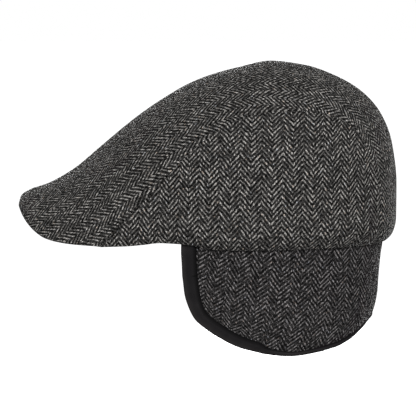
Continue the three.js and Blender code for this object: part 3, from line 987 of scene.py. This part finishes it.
@dataclass
class FlapForm:
    """The shape of the flap: an ellipse that closes in below the rim and curls in at its lower edge.

    Lengths are in millimetres, angles in degrees round the ellipse from the wearer's left. A span is where a
    change starts and ends. Near the lowest point a pressed dart runs up from the edge, a ridge behind it.
    """

    top: float = 10.0
    curl: float = 2.6
    curl_height: float = 20.0
    curl_span: Span = (-12.0, 8.0)
    slope_reach: float = 0.5
    gathers: Waves = Waves(0.35, 7.0, 21)
    gather_height: float = 9.0
    waves: Waves = Waves(0.45, 26.0, 23)
    wave_span: Span = (2.0, 16.0)
    dart_angle: float = 8.0
    dart_lean: float = 0.186
    dart_width: float = 1.5
    dart_depth: float = 1.8
    dart_height: float = 26.0
    dart_runs_out: float = 15.6
    dart_at_edge: float = 0.25
    dart_span: Span = (4.0, 10.0)
    ridge: float = 0.6
    ridge_behind: float = 2.2
    ridge_width: float = 1.8
    tuck: float = 3.2
    tuck_span: Span = (-0.6, 0.6)
    ease: float = 5.0
    ease_span: Span = (-21.0, -15.0)
    ease_height: float = 9.0
    ease_reach: float = 7.0

    def above_edge(self, angle: Array, z: Array) -> Array:
        """Height above the flap's lower edge."""
        return z - FLAP_EDGE.at("edge_z", angle)

    def face(self, angle: Array, z: Array) -> Array:
        """Point of the outer face, before its small forms.

        The ellipse shrinks by the taper, and by the curl as the square of the nearness to the edge.

        Args:
            angle: angle round the ellipse.
            z: height.

        Returns:
            The points.
        """
        near = np.clip(1 - self.above_edge(angle, z) / self.curl_height, 0, 1)
        curl = self.curl * np.interp(angle, self.curl_span, (0, 1)) * near * near
        turned = np.radians(angle)
        return points(
            (FLAP_HALF_WIDTH - FLAP_TAPER.at("width", z) - curl) * np.cos(turned),
            (FLAP_HALF_LENGTH - FLAP_TAPER.at("length", z) - curl) * np.sin(turned),
            z,
        )

    def normal(self, angle: Array, z: Array) -> Array:
        """Outward normal, from the ellipse and the slope of the wall.

        Args:
            angle: angle round the ellipse.
            z: height.

        Returns:
            The normals.
        """
        rise = self.face(angle, z + self.slope_reach) - self.face(angle, z - self.slope_reach)
        turned = np.radians(angle)
        level = unit(points(np.cos(turned) / FLAP_HALF_WIDTH, np.sin(turned) / FLAP_HALF_LENGTH, 0.0))
        level[..., 2] = -np.sum(rise * level, axis=-1) / (2 * self.slope_reach)
        return unit(level)

    def off_dart(self, angle: Array, above: Array) -> Array:
        """Distance behind the dart's line at a height above the edge, in widths of the dart."""
        behind = np.radians(angle - self.dart_angle - self.dart_lean * above)
        return behind * FLAP_HALF_LENGTH / self.dart_width

    def relief(self, angle: Array, z: Array) -> Array:
        """Height of the small forms: gathers that fade above the edge, soft waves, and one pressed dart.

        The dart is a narrow bell-shaped valley with a lower, wider ridge behind it.

        Args:
            angle: angle round the ellipse.
            z: height.

        Returns:
            The relief.
        """
        above = self.above_edge(angle, z)
        around = np.radians(angle) * (FLAP_HALF_WIDTH + FLAP_HALF_LENGTH) / 2
        soft = self.gathers.at(around) * np.exp(-above / self.gather_height)
        soft = soft + self.waves.at(around, z) * smooth_step(above, *self.wave_span)
        off = self.off_dart(angle, above)
        deep = self.dart_depth * smooth_step(self.dart_height - above, 0, self.dart_runs_out)
        deep = deep * (self.dart_at_edge + (1 - self.dart_at_edge) * smooth_step(above, *self.dart_span))
        ridge = self.ridge * np.exp(-(((off - self.ridge_behind) / self.ridge_width) ** 2))
        return soft - deep * (np.exp(-off * off) - ridge)

    def taken_up(self, angle: Array, z: Array) -> tuple[Array, Array]:
        """Cloth taken up round and down the flap: tucked under at the dart, and eased into the tape in front.

        Both grow towards the edge, the first as a smooth step and the second as an exponential.

        Args:
            angle: angle round the ellipse.
            z: height.

        Returns:
            Both lengths of cloth.
        """
        above = self.above_edge(angle, z)
        off = self.off_dart(angle, above)
        tucked = smooth_step(off, *self.tuck_span)
        tucked = tucked * smooth_step(self.dart_height - above, 0, self.dart_height)
        front = smooth_step(angle, *self.ease_span) * smooth_step(-off, *self.tuck_span)
        eased = front * np.exp(-np.maximum(above - self.ease_height, 0) / self.ease_reach)
        return self.tuck * tucked, self.ease * eased

    def spot(self, c: Array, w: Array) -> tuple[Array, Array]:
        """Angle and height at line c of the flap, with w from 0 at the top to 1 at the edge."""
        top, edge = FLAP_LINES.at("top_angle", c), FLAP_LINES.at("edge_angle", c)
        return top + (edge - top) * w, self.top + (FLAP_LINES.at("edge_z", c) - self.top) * w

    def point(self, angle: Array, z: Array, depth: Array | float) -> Array:
        """A point in the flap's wall, at a depth in from the outer face."""
        return self.face(angle, z) + self.normal(angle, z) * (self.relief(angle, z) - depth)[..., None]


@dataclass
class EarFlap:
    """The fold-down flap: one band of doubled tweed from temple round the nape to temple."""

    form: FlapForm
    half_columns: int = 230
    rows: int = 64
    grain_bend: float = 0.00055
    drawn: float = 12.0
    drawn_reach: float = 32.0
    drawn_from: float = 30.0
    drawn_depth: float = 38.0
    drawn_down: float = 0.6
    pattern_skips: tuple[int, int] = (5, 3)
    pattern_rounds: int = 3000

    def drawn_out(self, pattern: FlatPattern) -> FlatPattern:
        """The pattern with its threads drawn out, and less far down, towards both lower corners.

        The shift fades as an exponential of the distance from the nearer upright edge, and grows as the
        square of the depth below a level line.

        Args:
            pattern: the flap's pattern, upside down, with the nape in its middle column.

        Returns:
            The pattern.
        """
        u, v = pattern.places[..., 0], pattern.places[..., 1]
        middle = pattern.places[:, u.shape[1] // 2]
        off = u - middle[:, 0].mean()
        down = np.clip((np.abs(v - middle[0, 1]) - self.drawn_from) / self.drawn_depth, 0, None)
        shift = self.drawn * np.exp((np.abs(off) - np.abs(off).max()) / self.drawn_reach) * down**2
        return FlatPattern(np.stack([u + np.sign(off) * shift, v + self.drawn_down * shift], axis=-1))

    def build(self, finish: Material) -> Object:
        """The dressed flap: both faces follow the form, from the left temple round the nape to the right one.

        Args:
            finish: the cloth's material.

        Returns:
            The piece.
        """
        place = np.linspace(-1, 1, 2 * self.half_columns + 1)[:, None]
        place, w = np.broadcast_arrays(place, crowded(self.rows)[None])
        side = np.where(place > 0, -1.0, 1.0)
        spot = self.form.spot(NAPE * (1 - abs(place)), w)
        outer, inner = (mirrored(self.form.point(*spot, depth), side) for depth in (0.0, FLAP_CLOTH))
        column_skip, row_skip = self.pattern_skips
        sparse = np.swapaxes(outer[::column_skip, ::row_skip], 0, 1)
        pattern = FlatPattern.relaxed(sparse, rounds=self.pattern_rounds)
        pattern = self.drawn_out(pattern.bent(self.grain_bend))
        flat = pattern.at(np.linspace(0, 1, self.rows)[None], np.linspace(0, 1, len(place))[:, None])
        tucked, eased = self.form.taken_up(*spot)
        flat = flat + np.stack([CUT_PLACES["ear_flap"] + side * tucked, eased], axis=-1)
        piece = ClothWall(outer, inner, flat).build("cloth_ear_flap")
        dress(piece, "ear_flap", finish)
        return piece


@dataclass
class Binding:
    """The black tape folded over the flap's free edge, most of it inwards where the edge curls under."""

    form: FlapForm
    thickness: float = 1.2
    half_width: float = 9.5
    gap: float = 0.4
    least_fold: float = 0.4
    bulge: float = 0.45
    edge_thins: float = 0.75
    edge_reach: float = 1.3
    off_outer: float = 0.98
    fold_span: Span = (-4.0, 0.5)
    leg_corners: int = 9
    fold_corners: int = 9
    upright_from: float = 0.08
    upright_places: int = 26
    half_places: int = 190

    def section(self, shows: Array, stands: Array) -> tuple[Array, Array]:
        """Closed outlines of the tape across the edge: out past the edge, and side off the wall's middle.

        The outer line goes down one leg with a slight bulge, round the fold on half an ellipse and up again.
        The inner line comes back beside the cloth. Both legs together always have the tape's full width.

        Args:
            shows: length of the outer leg at each place along the edge, as a column.
            stands: share of its full thickness by which the tape stands off the cloth there.

        Returns:
            Both distances, by place and corner of the section.
        """
        groove = FLAP_CLOTH / 2 + self.gap * stands
        face = groove + self.thickness * stands
        end = (FIT_GAP + self.thickness) * (self.least_fold + (1 - self.least_fold) * stands)
        down = np.linspace(0, 1, self.leg_corners)[None]
        swing = np.linspace(0, np.pi, self.fold_corners + 2)[None, 1:-1]
        outs, offs = [], []
        for leg in (shows, 2 * self.half_width - shows):
            outs.append(end - leg + down * (leg - end))
            thinned = self.edge_thins * self.thickness * turn(down * leg, self.edge_reach)
            offs.append(face + stands * (self.bulge * np.sin(np.pi * down) - thinned))
        outer_out = np.concatenate([outs[0], end * np.sin(swing), outs[1][:, ::-1]], axis=1)
        outer_off = np.concatenate([offs[0], face * np.cos(swing), -offs[1][:, ::-1]], axis=1)
        inner_out = np.concatenate([outs[0], FIT_GAP * stands * np.sin(swing), outs[1][:, ::-1]], axis=1)
        level = np.ones_like(down)
        inner_off = groove * self.off_outer * np.concatenate([level, np.cos(swing), -level], axis=1)
        out = np.concatenate([outer_out, inner_out[:, ::-1]], axis=1)
        return out, np.concatenate([outer_off, inner_off[:, ::-1]], axis=1)

    @staticmethod
    def faces(index: Array) -> Array:
        """Quads of the tube through rings of vertices, and of both its ends.

        Args:
            index: the vertices' numbers, by ring and place on the ring.

        Returns:
            The quads.
        """
        ahead = np.roll(index, -1, axis=1)
        tube = np.stack([index[:-1], ahead[:-1], ahead[1:], index[1:]], axis=-1).reshape(-1, 4)
        ends = []
        for ring in (index[0], index[-1, ::-1]):
            outer, inner = np.split(ring, 2)
            ends.append(np.stack([outer[:-1], outer[1:], inner[-2::-1], inner[:0:-1]], axis=-1))
        return np.concatenate([tube, *ends])

    def path(self) -> tuple[Array, Array, Array]:
        """The tape's way down the left temple, along the edge and up the right temple.

        Returns:
            The flap's line, the share of the way down it, and the side of each place.
        """
        up = crowded(self.upright_places, self.upright_from)
        half = np.linspace(0, NAPE, self.half_places)
        c = np.concatenate([np.zeros(len(up) - 1), half, half[-2::-1], np.zeros(len(up) - 1)])
        w = np.concatenate([up[:-1], np.ones(2 * len(half) - 1), up[-2::-1]])
        return c, w, np.where(np.arange(len(c)) > len(c) // 2, -1.0, 1.0)

    def grid(self, c: Array, w: Array, side: Array, out: Array, off: Array) -> Array:
        """The section's corners, set on the flap's edge and bent to the flap's own wall.

        Args:
            c: line of each place along the edge.
            w: share down the line.
            side: 1 on the wearer's left, -1 on the right.
            out: distances of the corners out past the edge.
            off: their distances off the wall's middle.

        Returns:
            The corners, by place and corner of the section.
        """
        angle, z = self.form.spot(c, w)
        edge = self.form.point(angle, z, 0.0)
        along = mirrored(np.gradient(mirrored(edge, side), axis=0), side) * side[:, None]
        outward = unit(np.cross(along, self.form.normal(angle, z)))
        place = edge[:, None] + outward[:, None] * out[..., None]
        low = place[..., 2]
        y = place[..., 1] / (FLAP_HALF_LENGTH - FLAP_TAPER.at("length", low))
        x = place[..., 0] / (FLAP_HALF_WIDTH - FLAP_TAPER.at("width", low))
        bent = self.form.point(np.degrees(np.arctan2(y, x)), low, FLAP_CLOTH / 2 - off)
        return mirrored(bent, side[:, None])

    def build(self, finish: Material) -> Object:
        """The dressed tape, which knows for its finish how near each point is to the fold.

        Args:
            finish: the tape's material.

        Returns:
            The piece.
        """
        c, w, side = self.path()
        out, off = self.section(TAPE_SHOWS.at("shows", c)[:, None], TAPE_SHOWS.at("stands", c)[:, None])
        grid = self.grid(c, w, side, out, off)
        edge = mirrored(self.form.point(*self.form.spot(c, w), 0.0), side)
        along = run(edge[None], 1)[0]
        around = run(np.stack([out, off], axis=-1), 1)
        flat = np.stack(np.broadcast_arrays(around, along[:, None]), axis=-1).reshape(-1, 2) * MM
        # Nearness to the fold; the finish paints a highlight there and fades the groove's painted shade
        fold = smooth_step(out, *self.fold_span).ravel()
        index = np.arange(out.size).reshape(out.shape)
        piece = mesh_object("tape_binding", grid.reshape(-1, 3) * MM, self.faces(index), flat, fold)
        dress(piece, "flap_binding", finish)
        return piece


class Number:
    """A number socket of a shader, on which Python's operators add Math nodes."""

    def __init__(self, shader: "Shader", socket: NodeSocket) -> None:
        """Wraps a socket of the shader."""
        self.shader = shader
        self.socket = socket

    def math(self, operation: str, *others: "Number | float", clamp: bool = False) -> "Number":
        """A Math node with this number first.

        Args:
            operation: the node's operation.
            others: its other numbers.
            clamp: whether the result is kept from 0 to 1.

        Returns:
            The result.
        """
        settings = {"operation": operation, "use_clamp": clamp}
        node = self.shader.node("ShaderNodeMath", settings, dict(enumerate([self, *others])))
        return Number(self.shader, node.outputs[0])

    def __rsub__(self, other: float) -> "Number":
        """A plain number less this one."""
        return self.math("MULTIPLY_ADD", -1.0, other)

    __add__ = __radd__ = partialmethod(math, "ADD")
    __sub__ = partialmethod(math, "SUBTRACT")
    __mul__ = __rmul__ = partialmethod(math, "MULTIPLY")
    __truediv__ = partialmethod(math, "DIVIDE")
    __mod__ = partialmethod(math, "FLOORED_MODULO")
    __lt__ = partialmethod(math, "LESS_THAN")
    __gt__ = partialmethod(math, "GREATER_THAN")
    floor = partialmethod(math, "FLOOR")
    sine = partialmethod(math, "SINE")

    def clamped(self) -> "Number":
        """Kept from 0 to 1."""
        return self.math("ADD", 0.0, clamp=True)

    def climb(self, start: float, steepness: float) -> "Number":
        """0 up to start, and from there a straight climb to 1."""
        return ((self - start) * steepness).clamped()

    def mix(self, low: "Number | float", high: "Number | float") -> "Number":
        """low where this is 0, high where it is 1."""
        node = self.shader.node("ShaderNodeMix", {"data_type": "FLOAT"}, {0: self, 2: low, 3: high})
        return Number(self.shader, node.outputs[0])


# Layers of the shaders' random numbers: one for the crossings of threads, one for whole threads
CROSSING_LAYER, THREAD_LAYER = 3.0, 7.0


@dataclass(frozen=True)
class Grain:
    """Smooth noise: waves to a millimetre, how many finer layers it has, and how strong these are."""

    scale: float
    layers: float = 2.0
    rough: float = 0.5


class Shader:
    """A material under construction."""

    def __init__(self, name: str) -> None:
        """Starts a material with only its output."""
        self.material = bpy.data.materials.new(name)
        self.material.use_nodes = True
        self.tree = self.material.node_tree
        self.tree.nodes.clear()
        self.output = self.tree.nodes.new("ShaderNodeOutputMaterial")

    def node(self, kind: str, settings: dict[str, Any], inputs: dict[Any, Any]) -> Node:
        """Adds a node.

        Args:
            kind: the node's type.
            settings: its properties.
            inputs: values or links of its sockets.

        Returns:
            The node.
        """
        made = self.tree.nodes.new(kind)
        for name, value in settings.items():
            setattr(made, name, value)
        for key, value in inputs.items():
            socket = made.inputs[key]
            if isinstance(value, Number):
                value = value.socket
            if isinstance(value, NodeSocket):
                self.tree.links.new(value, socket)
            elif socket.type == "RGBA":
                socket.default_value = (*value, 1.0)
            else:
                socket.default_value = value
        return made

    def flat_place(self) -> tuple[Number, Number]:
        """Place in the flat cloth, across and along the weave, in millimetres."""
        uv = self.node("ShaderNodeUVMap", {"uv_map": "Cloth"}, {})
        parts = self.node("ShaderNodeSeparateXYZ", {}, {0: uv.outputs[0]})
        return Number(self, parts.outputs[0]) / MM, Number(self, parts.outputs[1]) / MM

    def vector(self, x: Any, y: Any, z: Any = 0.0) -> NodeSocket:
        """A vector from numbers."""
        return self.node("ShaderNodeCombineXYZ", {}, {0: x, 1: y, 2: z}).outputs[0]

    def noise(self, x: Number, y: Number, grain: Grain) -> Number:
        """Smooth noise about one half, at a place in two dimensions.

        Args:
            x: the place across.
            y: the place along.
            grain: the noise's scale and layers.

        Returns:
            The noise.
        """
        sockets = {"Scale": grain.scale, "Detail": grain.layers, "Roughness": grain.rough}
        sockets["Vector"] = self.vector(x, y)
        return Number(self, self.node("ShaderNodeTexNoise", {"noise_dimensions": "2D"}, sockets).outputs[0])

    def random(self, x: Any, y: Any, z: Any) -> Number:
        """A random number from 0 to 1 for each whole place."""
        sockets = {"Vector": self.vector(x, y, z)}
        return Number(self, self.node("ShaderNodeTexWhiteNoise", {}, sockets).outputs[0])

    def blend(self, share: Number, low: Any, high: Any, mode: str = "MIX") -> NodeSocket:
        """Colour between low and high, or in another mode low with its share of high."""
        settings = {"data_type": "RGBA", "blend_type": mode}
        return self.node("ShaderNodeMix", settings, {0: share, 6: low, 7: high}).outputs[2]

    def relief(self, height: Number, depth: float) -> NodeSocket:
        """Normals of a relief, from its height from 0 to 1 and the metres that a height of 1 is."""
        sockets = {"Strength": 1.0, "Distance": depth, "Height": height}
        return self.node("ShaderNodeBump", {}, sockets).outputs[0]

    def surface(self, sockets: dict[str, Any]) -> NodeSocket:
        """A surface with values or links for its sockets."""
        return self.node("ShaderNodeBsdfPrincipled", {}, sockets).outputs[0]

    def finished(self, surface: NodeSocket) -> Material:
        """The material with this surface."""
        self.tree.links.new(surface, self.output.inputs[0])
        return self.material


@dataclass(frozen=True)
class Tweed:
    """Herringbone tweed: a 2/2 twill of light warp and dark weft that turns back at every stripe.

    Lengths are in millimetres, but the relief's is in metres. The tone shares say how much each float, each
    thread, each crossing, the fibres and the slow streaks count in a tone. A climb is where it starts and how
    steep it is. The twill's count jumps by turn_back at a stripe's edge, and flecks are tinted crossings. The
    hollow shade is painted shade, a dark colour in the hollows between the floats.
    """

    name: str
    light: Colour = (0.275, 0.265, 0.251)
    light_low: Colour = (0.018, 0.0175, 0.017)
    dark: Colour = (0.0002, 0.0002, 0.0002)
    dark_high: Colour = (0.0065, 0.0063, 0.0063)
    # Painted shade in the hollows between floats: its colour, its share, and how soon it gives way up a
    # float's rounding
    hollow_shade: Colour = (0.0008, 0.0008, 0.0008)
    hollow_shade_share: float = 0.95
    hollow_shade_edge: float = 1.4
    flecks: tuple[Colour, Colour] = ((1.0, 0.85, 0.73), (0.82, 0.89, 1.0))
    fleck_from: float = 0.93
    fleck_mix: float = 30.0
    end: float = 0.81
    pick: float = 0.952
    sway: Span = (1.32, 1.76)
    sway_grains: tuple[Grain, Grain] = (Grain(0.16), Grain(0.14))
    ends_per_stripe: float = 9.0
    over: float = 2.0
    repeat: float = 4.0
    turn_back: float = 3.0
    slant: float = 0.7
    roundness: float = 0.7
    tone_shares: tuple[float, ...] = (0.72, 0.06, 0.4, 1.8, 0.16)
    tone_start: float = 1.18
    fibre: Grain = Grain(1.25, 3.0, 0.75)
    slow: Grain = Grain(0.09)
    fuzz: float = 0.15
    stray: Grain = Grain(1.5, 2.0, 0.85)
    stray_climb: Span = (0.4, 5.0)
    relief: float = 0.00014
    fibre_relief: float = 0.2
    tufts: Grain = Grain(1.0, 1.0)
    tuft_shape: Span = (0.4, 1.4)
    tuft_climb: Span = (0.62, 14.0)
    hair: float = 0.55
    hair_roughness: float = 0.3
    roughness: float = 0.92

    def material(self) -> Material:
        """The cloth's material, on the flat pattern.

        The warp is up where pick number plus or minus end number, modulo 4, is below 2. Each float is a
        rounded bump, two threads long, with its own tone, and painted shade darkens the hollows round it.
        Tufts of loose hairs have a sheen where the cloth turns away.

        Returns:
            The material.
        """
        shader = Shader(self.name)
        x, y = shader.flat_place()
        across = (x + (shader.noise(x, y, self.sway_grains[0]) - 0.5) * self.sway[0]) / self.end
        along = (y + (shader.noise(y, x, self.sway_grains[1]) - 0.5) * self.sway[1]) / self.pick
        stripe = (across / self.ends_per_stripe).floor()
        odd = stripe % 2.0
        sign = 1.0 - odd * 2.0
        end, pick = across.floor(), along.floor()
        in_end, in_pick = across - end, along - pick
        count = pick + sign * (end - stripe * self.ends_per_stripe) + odd * self.turn_back
        phase = count % self.repeat
        warp = phase < self.over - 0.5

        # Place on a float, from -1 to 1 across its thread and along it
        side = warp.mix(in_pick, in_end) * 2.0 - 1.0
        warp_way = phase + in_pick + (in_end - 0.5) * sign * self.slant
        weft_way = phase + odd.mix(in_end, 1.0 - in_end) - self.over
        way = warp.mix(weft_way, warp_way) - self.over / 2
        bulge = (1.0 - side * side * self.roundness) * (1.0 - way * way).clamped()

        thread = warp.mix(pick, end)
        tint = shader.random(end, pick, CROSSING_LAYER)
        fibre = shader.noise(x, y, self.fibre)
        on_float = shader.random(thread, (count / self.repeat).floor(), warp)
        on_thread = shader.random(thread, THREAD_LAYER, warp)
        parts = (on_float, on_thread, tint, fibre, shader.noise(x, y, self.slow))
        tone = sum((part * share for part, share in zip(parts, self.tone_shares)), -self.tone_start).clamped()
        fleck = shader.blend(tint * self.fleck_mix % 1.0, *self.flecks)
        light = shader.blend(tone * tone, self.light_low, self.light)
        light = shader.blend(tint > self.fleck_from, light, fleck, "MULTIPLY")
        dark = shader.blend(tone, self.dark, self.dark_high)
        stray = shader.noise(y, x, self.stray).climb(*self.stray_climb)
        cloth = shader.blend(warp * (1.0 - self.fuzz) + stray * self.fuzz, dark, light)
        # Painted shade: the colour darkens towards the hollow's colour where a float's rounding falls into
        # the hollows between floats
        deep = (1.0 - (bulge * self.hollow_shade_edge).clamped()) * self.hollow_shade_share
        height = bulge * (1.0 - self.fibre_relief) + fibre * self.fibre_relief
        sockets = {
            "Base Color": shader.blend(deep, cloth, self.hollow_shade),
            "Normal": shader.relief(height, self.relief),
            "Roughness": self.roughness,
            "Specular IOR Level": 0.0,
        }
        wide, tall = self.tuft_shape
        tuft = shader.noise(x * wide, y * tall, self.tufts).climb(*self.tuft_climb)
        hairy = {**sockets, "Sheen Weight": self.hair, "Sheen Roughness": self.hair_roughness}
        surfaces = {0: tuft, 1: shader.surface(sockets), 2: shader.surface(hairy)}
        return shader.finished(shader.node("ShaderNodeMixShader", {}, surfaces).outputs[0])


# The flap's tweed: more fuzz, and ends and picks of other lengths; its light yarns are darker than the
# crown's, as painted shade for the flap that hangs lower and gets less light
SHADED_FLAP_TWEED = Tweed(
    "flap_tweed",
    light=(0.162, 0.154, 0.154),
    light_low=(0.0122, 0.0116, 0.0118),
    fuzz=0.26,
    end=0.863,
    pick=0.883,
)


@dataclass(frozen=True)
class Tape:
    """Black cotton tape with a fine rib across it; lengths in millimetres, but the relief's in metres."""

    name: str
    colour: Colour = (0.0049, 0.0046, 0.0049)
    # Lighter colour of rubbed places, which also paints a highlight along the fold
    worn_and_highlight: Colour = (0.0112, 0.0103, 0.0104)
    # Painted shade of the groove beside the cloth: its colour, its width in millimetres, and how much it
    # fades towards the fold
    groove_shade_colour: Colour = (0.0015, 0.0014, 0.0015)
    rib: float = 0.42
    groove: float = 3.2
    groove_shade_fades: float = 1.5
    fibre: Grain = Grain(2.5, 2.0, 0.6)
    slow: Grain = Grain(0.12)
    slow_share: float = 0.7
    fibre_share: float = 0.5
    # How much the fold counts in the lighter colour: a painted highlight along the fold
    fold_highlight_share: float = 0.75
    rubbed_and_highlit_from: float = 0.55
    relief: float = 0.00006
    roughness: float = 0.82
    gloss: float = 0.02

    def material(self) -> Material:
        """The tape's material: ribs across it as a sine, rubbed places that are lighter at random, a painted
        highlight along the fold, and a painted shade of the groove along its edge.

        Returns:
            The material.
        """
        shader = Shader(self.name)
        x, y = shader.flat_place()
        rib = (y * (2 * math.pi / self.rib)).sine() * 0.5 + 0.5
        fibre = shader.noise(x, y, self.fibre)
        slow = shader.noise(x, y, self.slow)
        near_fold = shader.node("ShaderNodeAttribute", {"attribute_name": "fold"}, {})
        fold = Number(shader, near_fold.outputs["Fac"])
        # The slow streaks and fibres are random wear; the fold's share paints a highlight along the fold
        rubbed_and_highlit = slow * self.slow_share + fibre * self.fibre_share + fold * self.fold_highlight_share
        colour = shader.blend((rubbed_and_highlit - self.rubbed_and_highlit_from).clamped(), self.colour, self.worn_and_highlight)
        # Painted shade of the groove along the tape's edge beside the cloth, fading towards the fold
        off_groove_shade = (x * (1 / self.groove) + fold * self.groove_shade_fades).clamped()
        sockets = {
            "Base Color": shader.blend(off_groove_shade * off_groove_shade, self.groove_shade_colour, colour),
            "Normal": shader.relief((rib + fibre) * 0.5, self.relief),
            "Roughness": self.roughness,
            "Specular IOR Level": self.gloss,
        }
        return shader.finished(shader.surface(sockets))


class Wash(Enum):
    """Soft lights of the studio: place in metres, size in metres, and power in watts."""

    KEY = ((1.9, 0.45, 0.85), 1.1, 100.0)
    FRONT = ((0.6, -1.9, 0.5), 1.2, 11.0)
    FAR = ((-1.95, -0.35, 0.3), 1.2, 60.0)


@dataclass
class Studio:
    """Pale floor, dark flag, soft lights and the camera at the photograph's angle; lengths in metres."""

    target: tuple[float, float, float] = (0.0, -0.023, 0.023)
    distance: float = 2.2
    elevation: float = 5.0
    lens: float = 264.4
    sensor: float = 36.0
    sight: float = 60.0
    floor_z: float = -0.32
    floor_half: float = 14.0
    floor_colour: Colour = (0.28, 0.28, 0.28)
    matt: float = 0.9
    glow: float = 0.85
    glow_climb: Span = (0.5, 0.8)
    flag_z: float = 1.0
    flag_half: float = 0.75
    flag_colour: Colour = (0.1, 0.1, 0.1)
    sky: float = 1.0

    @staticmethod
    def square(name: str, half: float, z: float, finish: Material) -> Object:
        """A level square that belongs to the stage.

        Args:
            name: its name.
            half: half the length of its sides.
            z: its height.
            finish: its material.

        Returns:
            The object.
        """
        mesh = bpy.data.meshes.new(name)
        corners = [(-half, -half, z), (half, -half, z), (half, half, z), (-half, half, z)]
        mesh.from_pydata(corners, [], [(0, 1, 2, 3)])
        mesh.materials.append(finish)
        square = bpy.data.objects.new(name, mesh)
        bpy.context.scene.collection.objects.link(square)
        return square

    def floor(self) -> Object:
        """A wide pale floor below the cap, which hangs free as on a head; it glows far out, like a sweep."""
        shader = Shader("pale_floor")
        place = shader.node("ShaderNodeTexCoord", {}, {}).outputs["Object"]
        away = shader.node("ShaderNodeVectorMath", {"operation": "LENGTH"}, {0: place})
        share = Number(shader, away.outputs["Value"]).climb(*self.glow_climb)
        sockets = {
            "Base Color": self.floor_colour,
            "Roughness": self.matt,
            "Specular IOR Level": 0.0,
            "Emission Color": shader.blend(share, (0.0, 0.0, 0.0), (self.glow,) * 3),
            "Emission Strength": 1.0,
        }
        return self.square("floor", self.floor_half, self.floor_z, shader.finished(shader.surface(sockets)))

    def flag(self) -> Object:
        """A dark card over the cap that keeps some of the sky off its top, unseen by the camera."""
        shader = Shader("dark_card")
        finish = shader.finished(shader.surface({"Base Color": self.flag_colour, "Roughness": self.matt}))
        flag = self.square("flag", self.flag_half, self.flag_z, finish)
        flag.visible_camera = False
        return flag

    def lights(self) -> None:
        """Soft area lights aimed at the cap, and an even pale sky."""
        for wash in Wash:
            place, size, power = wash.value
            lamp = bpy.data.lights.new(wash.name.lower(), "AREA")
            lamp.shape = "DISK"
            lamp.size = size
            lamp.energy = power
            light = bpy.data.objects.new(wash.name.lower(), lamp)
            light.location = place
            light.visible_camera = False
            aim = Vector(self.target) - Vector(place)
            light.rotation_euler = aim.to_track_quat("-Z", "Y").to_euler()
            bpy.context.scene.collection.objects.link(light)
        world = bpy.data.worlds.new("pale_sky")
        world.use_nodes = True
        background = world.node_tree.nodes["Background"]
        background.inputs["Color"].default_value = (1.0, 1.0, 1.0, 1.0)
        background.inputs["Strength"].default_value = self.sky
        bpy.context.scene.world = world

    def camera(self) -> None:
        """The camera level with the cap's side, slightly above it, with a long lens."""
        tilt = math.radians(self.elevation)
        back = Vector((math.cos(tilt), 0.0, math.sin(tilt)))
        data = bpy.data.cameras.new("camera")
        data.lens = self.lens
        data.sensor_width = self.sensor
        data.clip_end = self.sight
        camera = bpy.data.objects.new("camera", data)
        camera.location = Vector(self.target) + back * self.distance
        camera.rotation_mode = "QUATERNION"
        camera.rotation_quaternion = (-back).to_track_quat("-Z", "Y")
        bpy.context.scene.collection.objects.link(camera)
        bpy.context.scene.camera = camera

    def build(self) -> None:
        """Sets the stage, with colours shown as they are."""
        self.floor()
        self.flag()
        self.lights()
        self.camera()
        bpy.context.scene.view_settings.view_transform = "Standard"


def main() -> None:
    """Builds the cap from its cloths, and the studio round it."""
    logging.basicConfig(level=logging.INFO, format="%(name)s: %(message)s")
    Studio().build()
    crown_tweed = Tweed("crown_tweed").material()
    top = TopPanel()
    top.build(crown_tweed)
    for side in (1, -1):
        SidePanel(top=top).build(side, crown_tweed)
    Peak().build(Tweed("peak_tweed").material())
    form = FlapForm()
    EarFlap(form).build(SHADED_FLAP_TWEED.material())
    Binding(form).build(Tape("binding_tape").material())


if __name__ == "__main__":
    main()
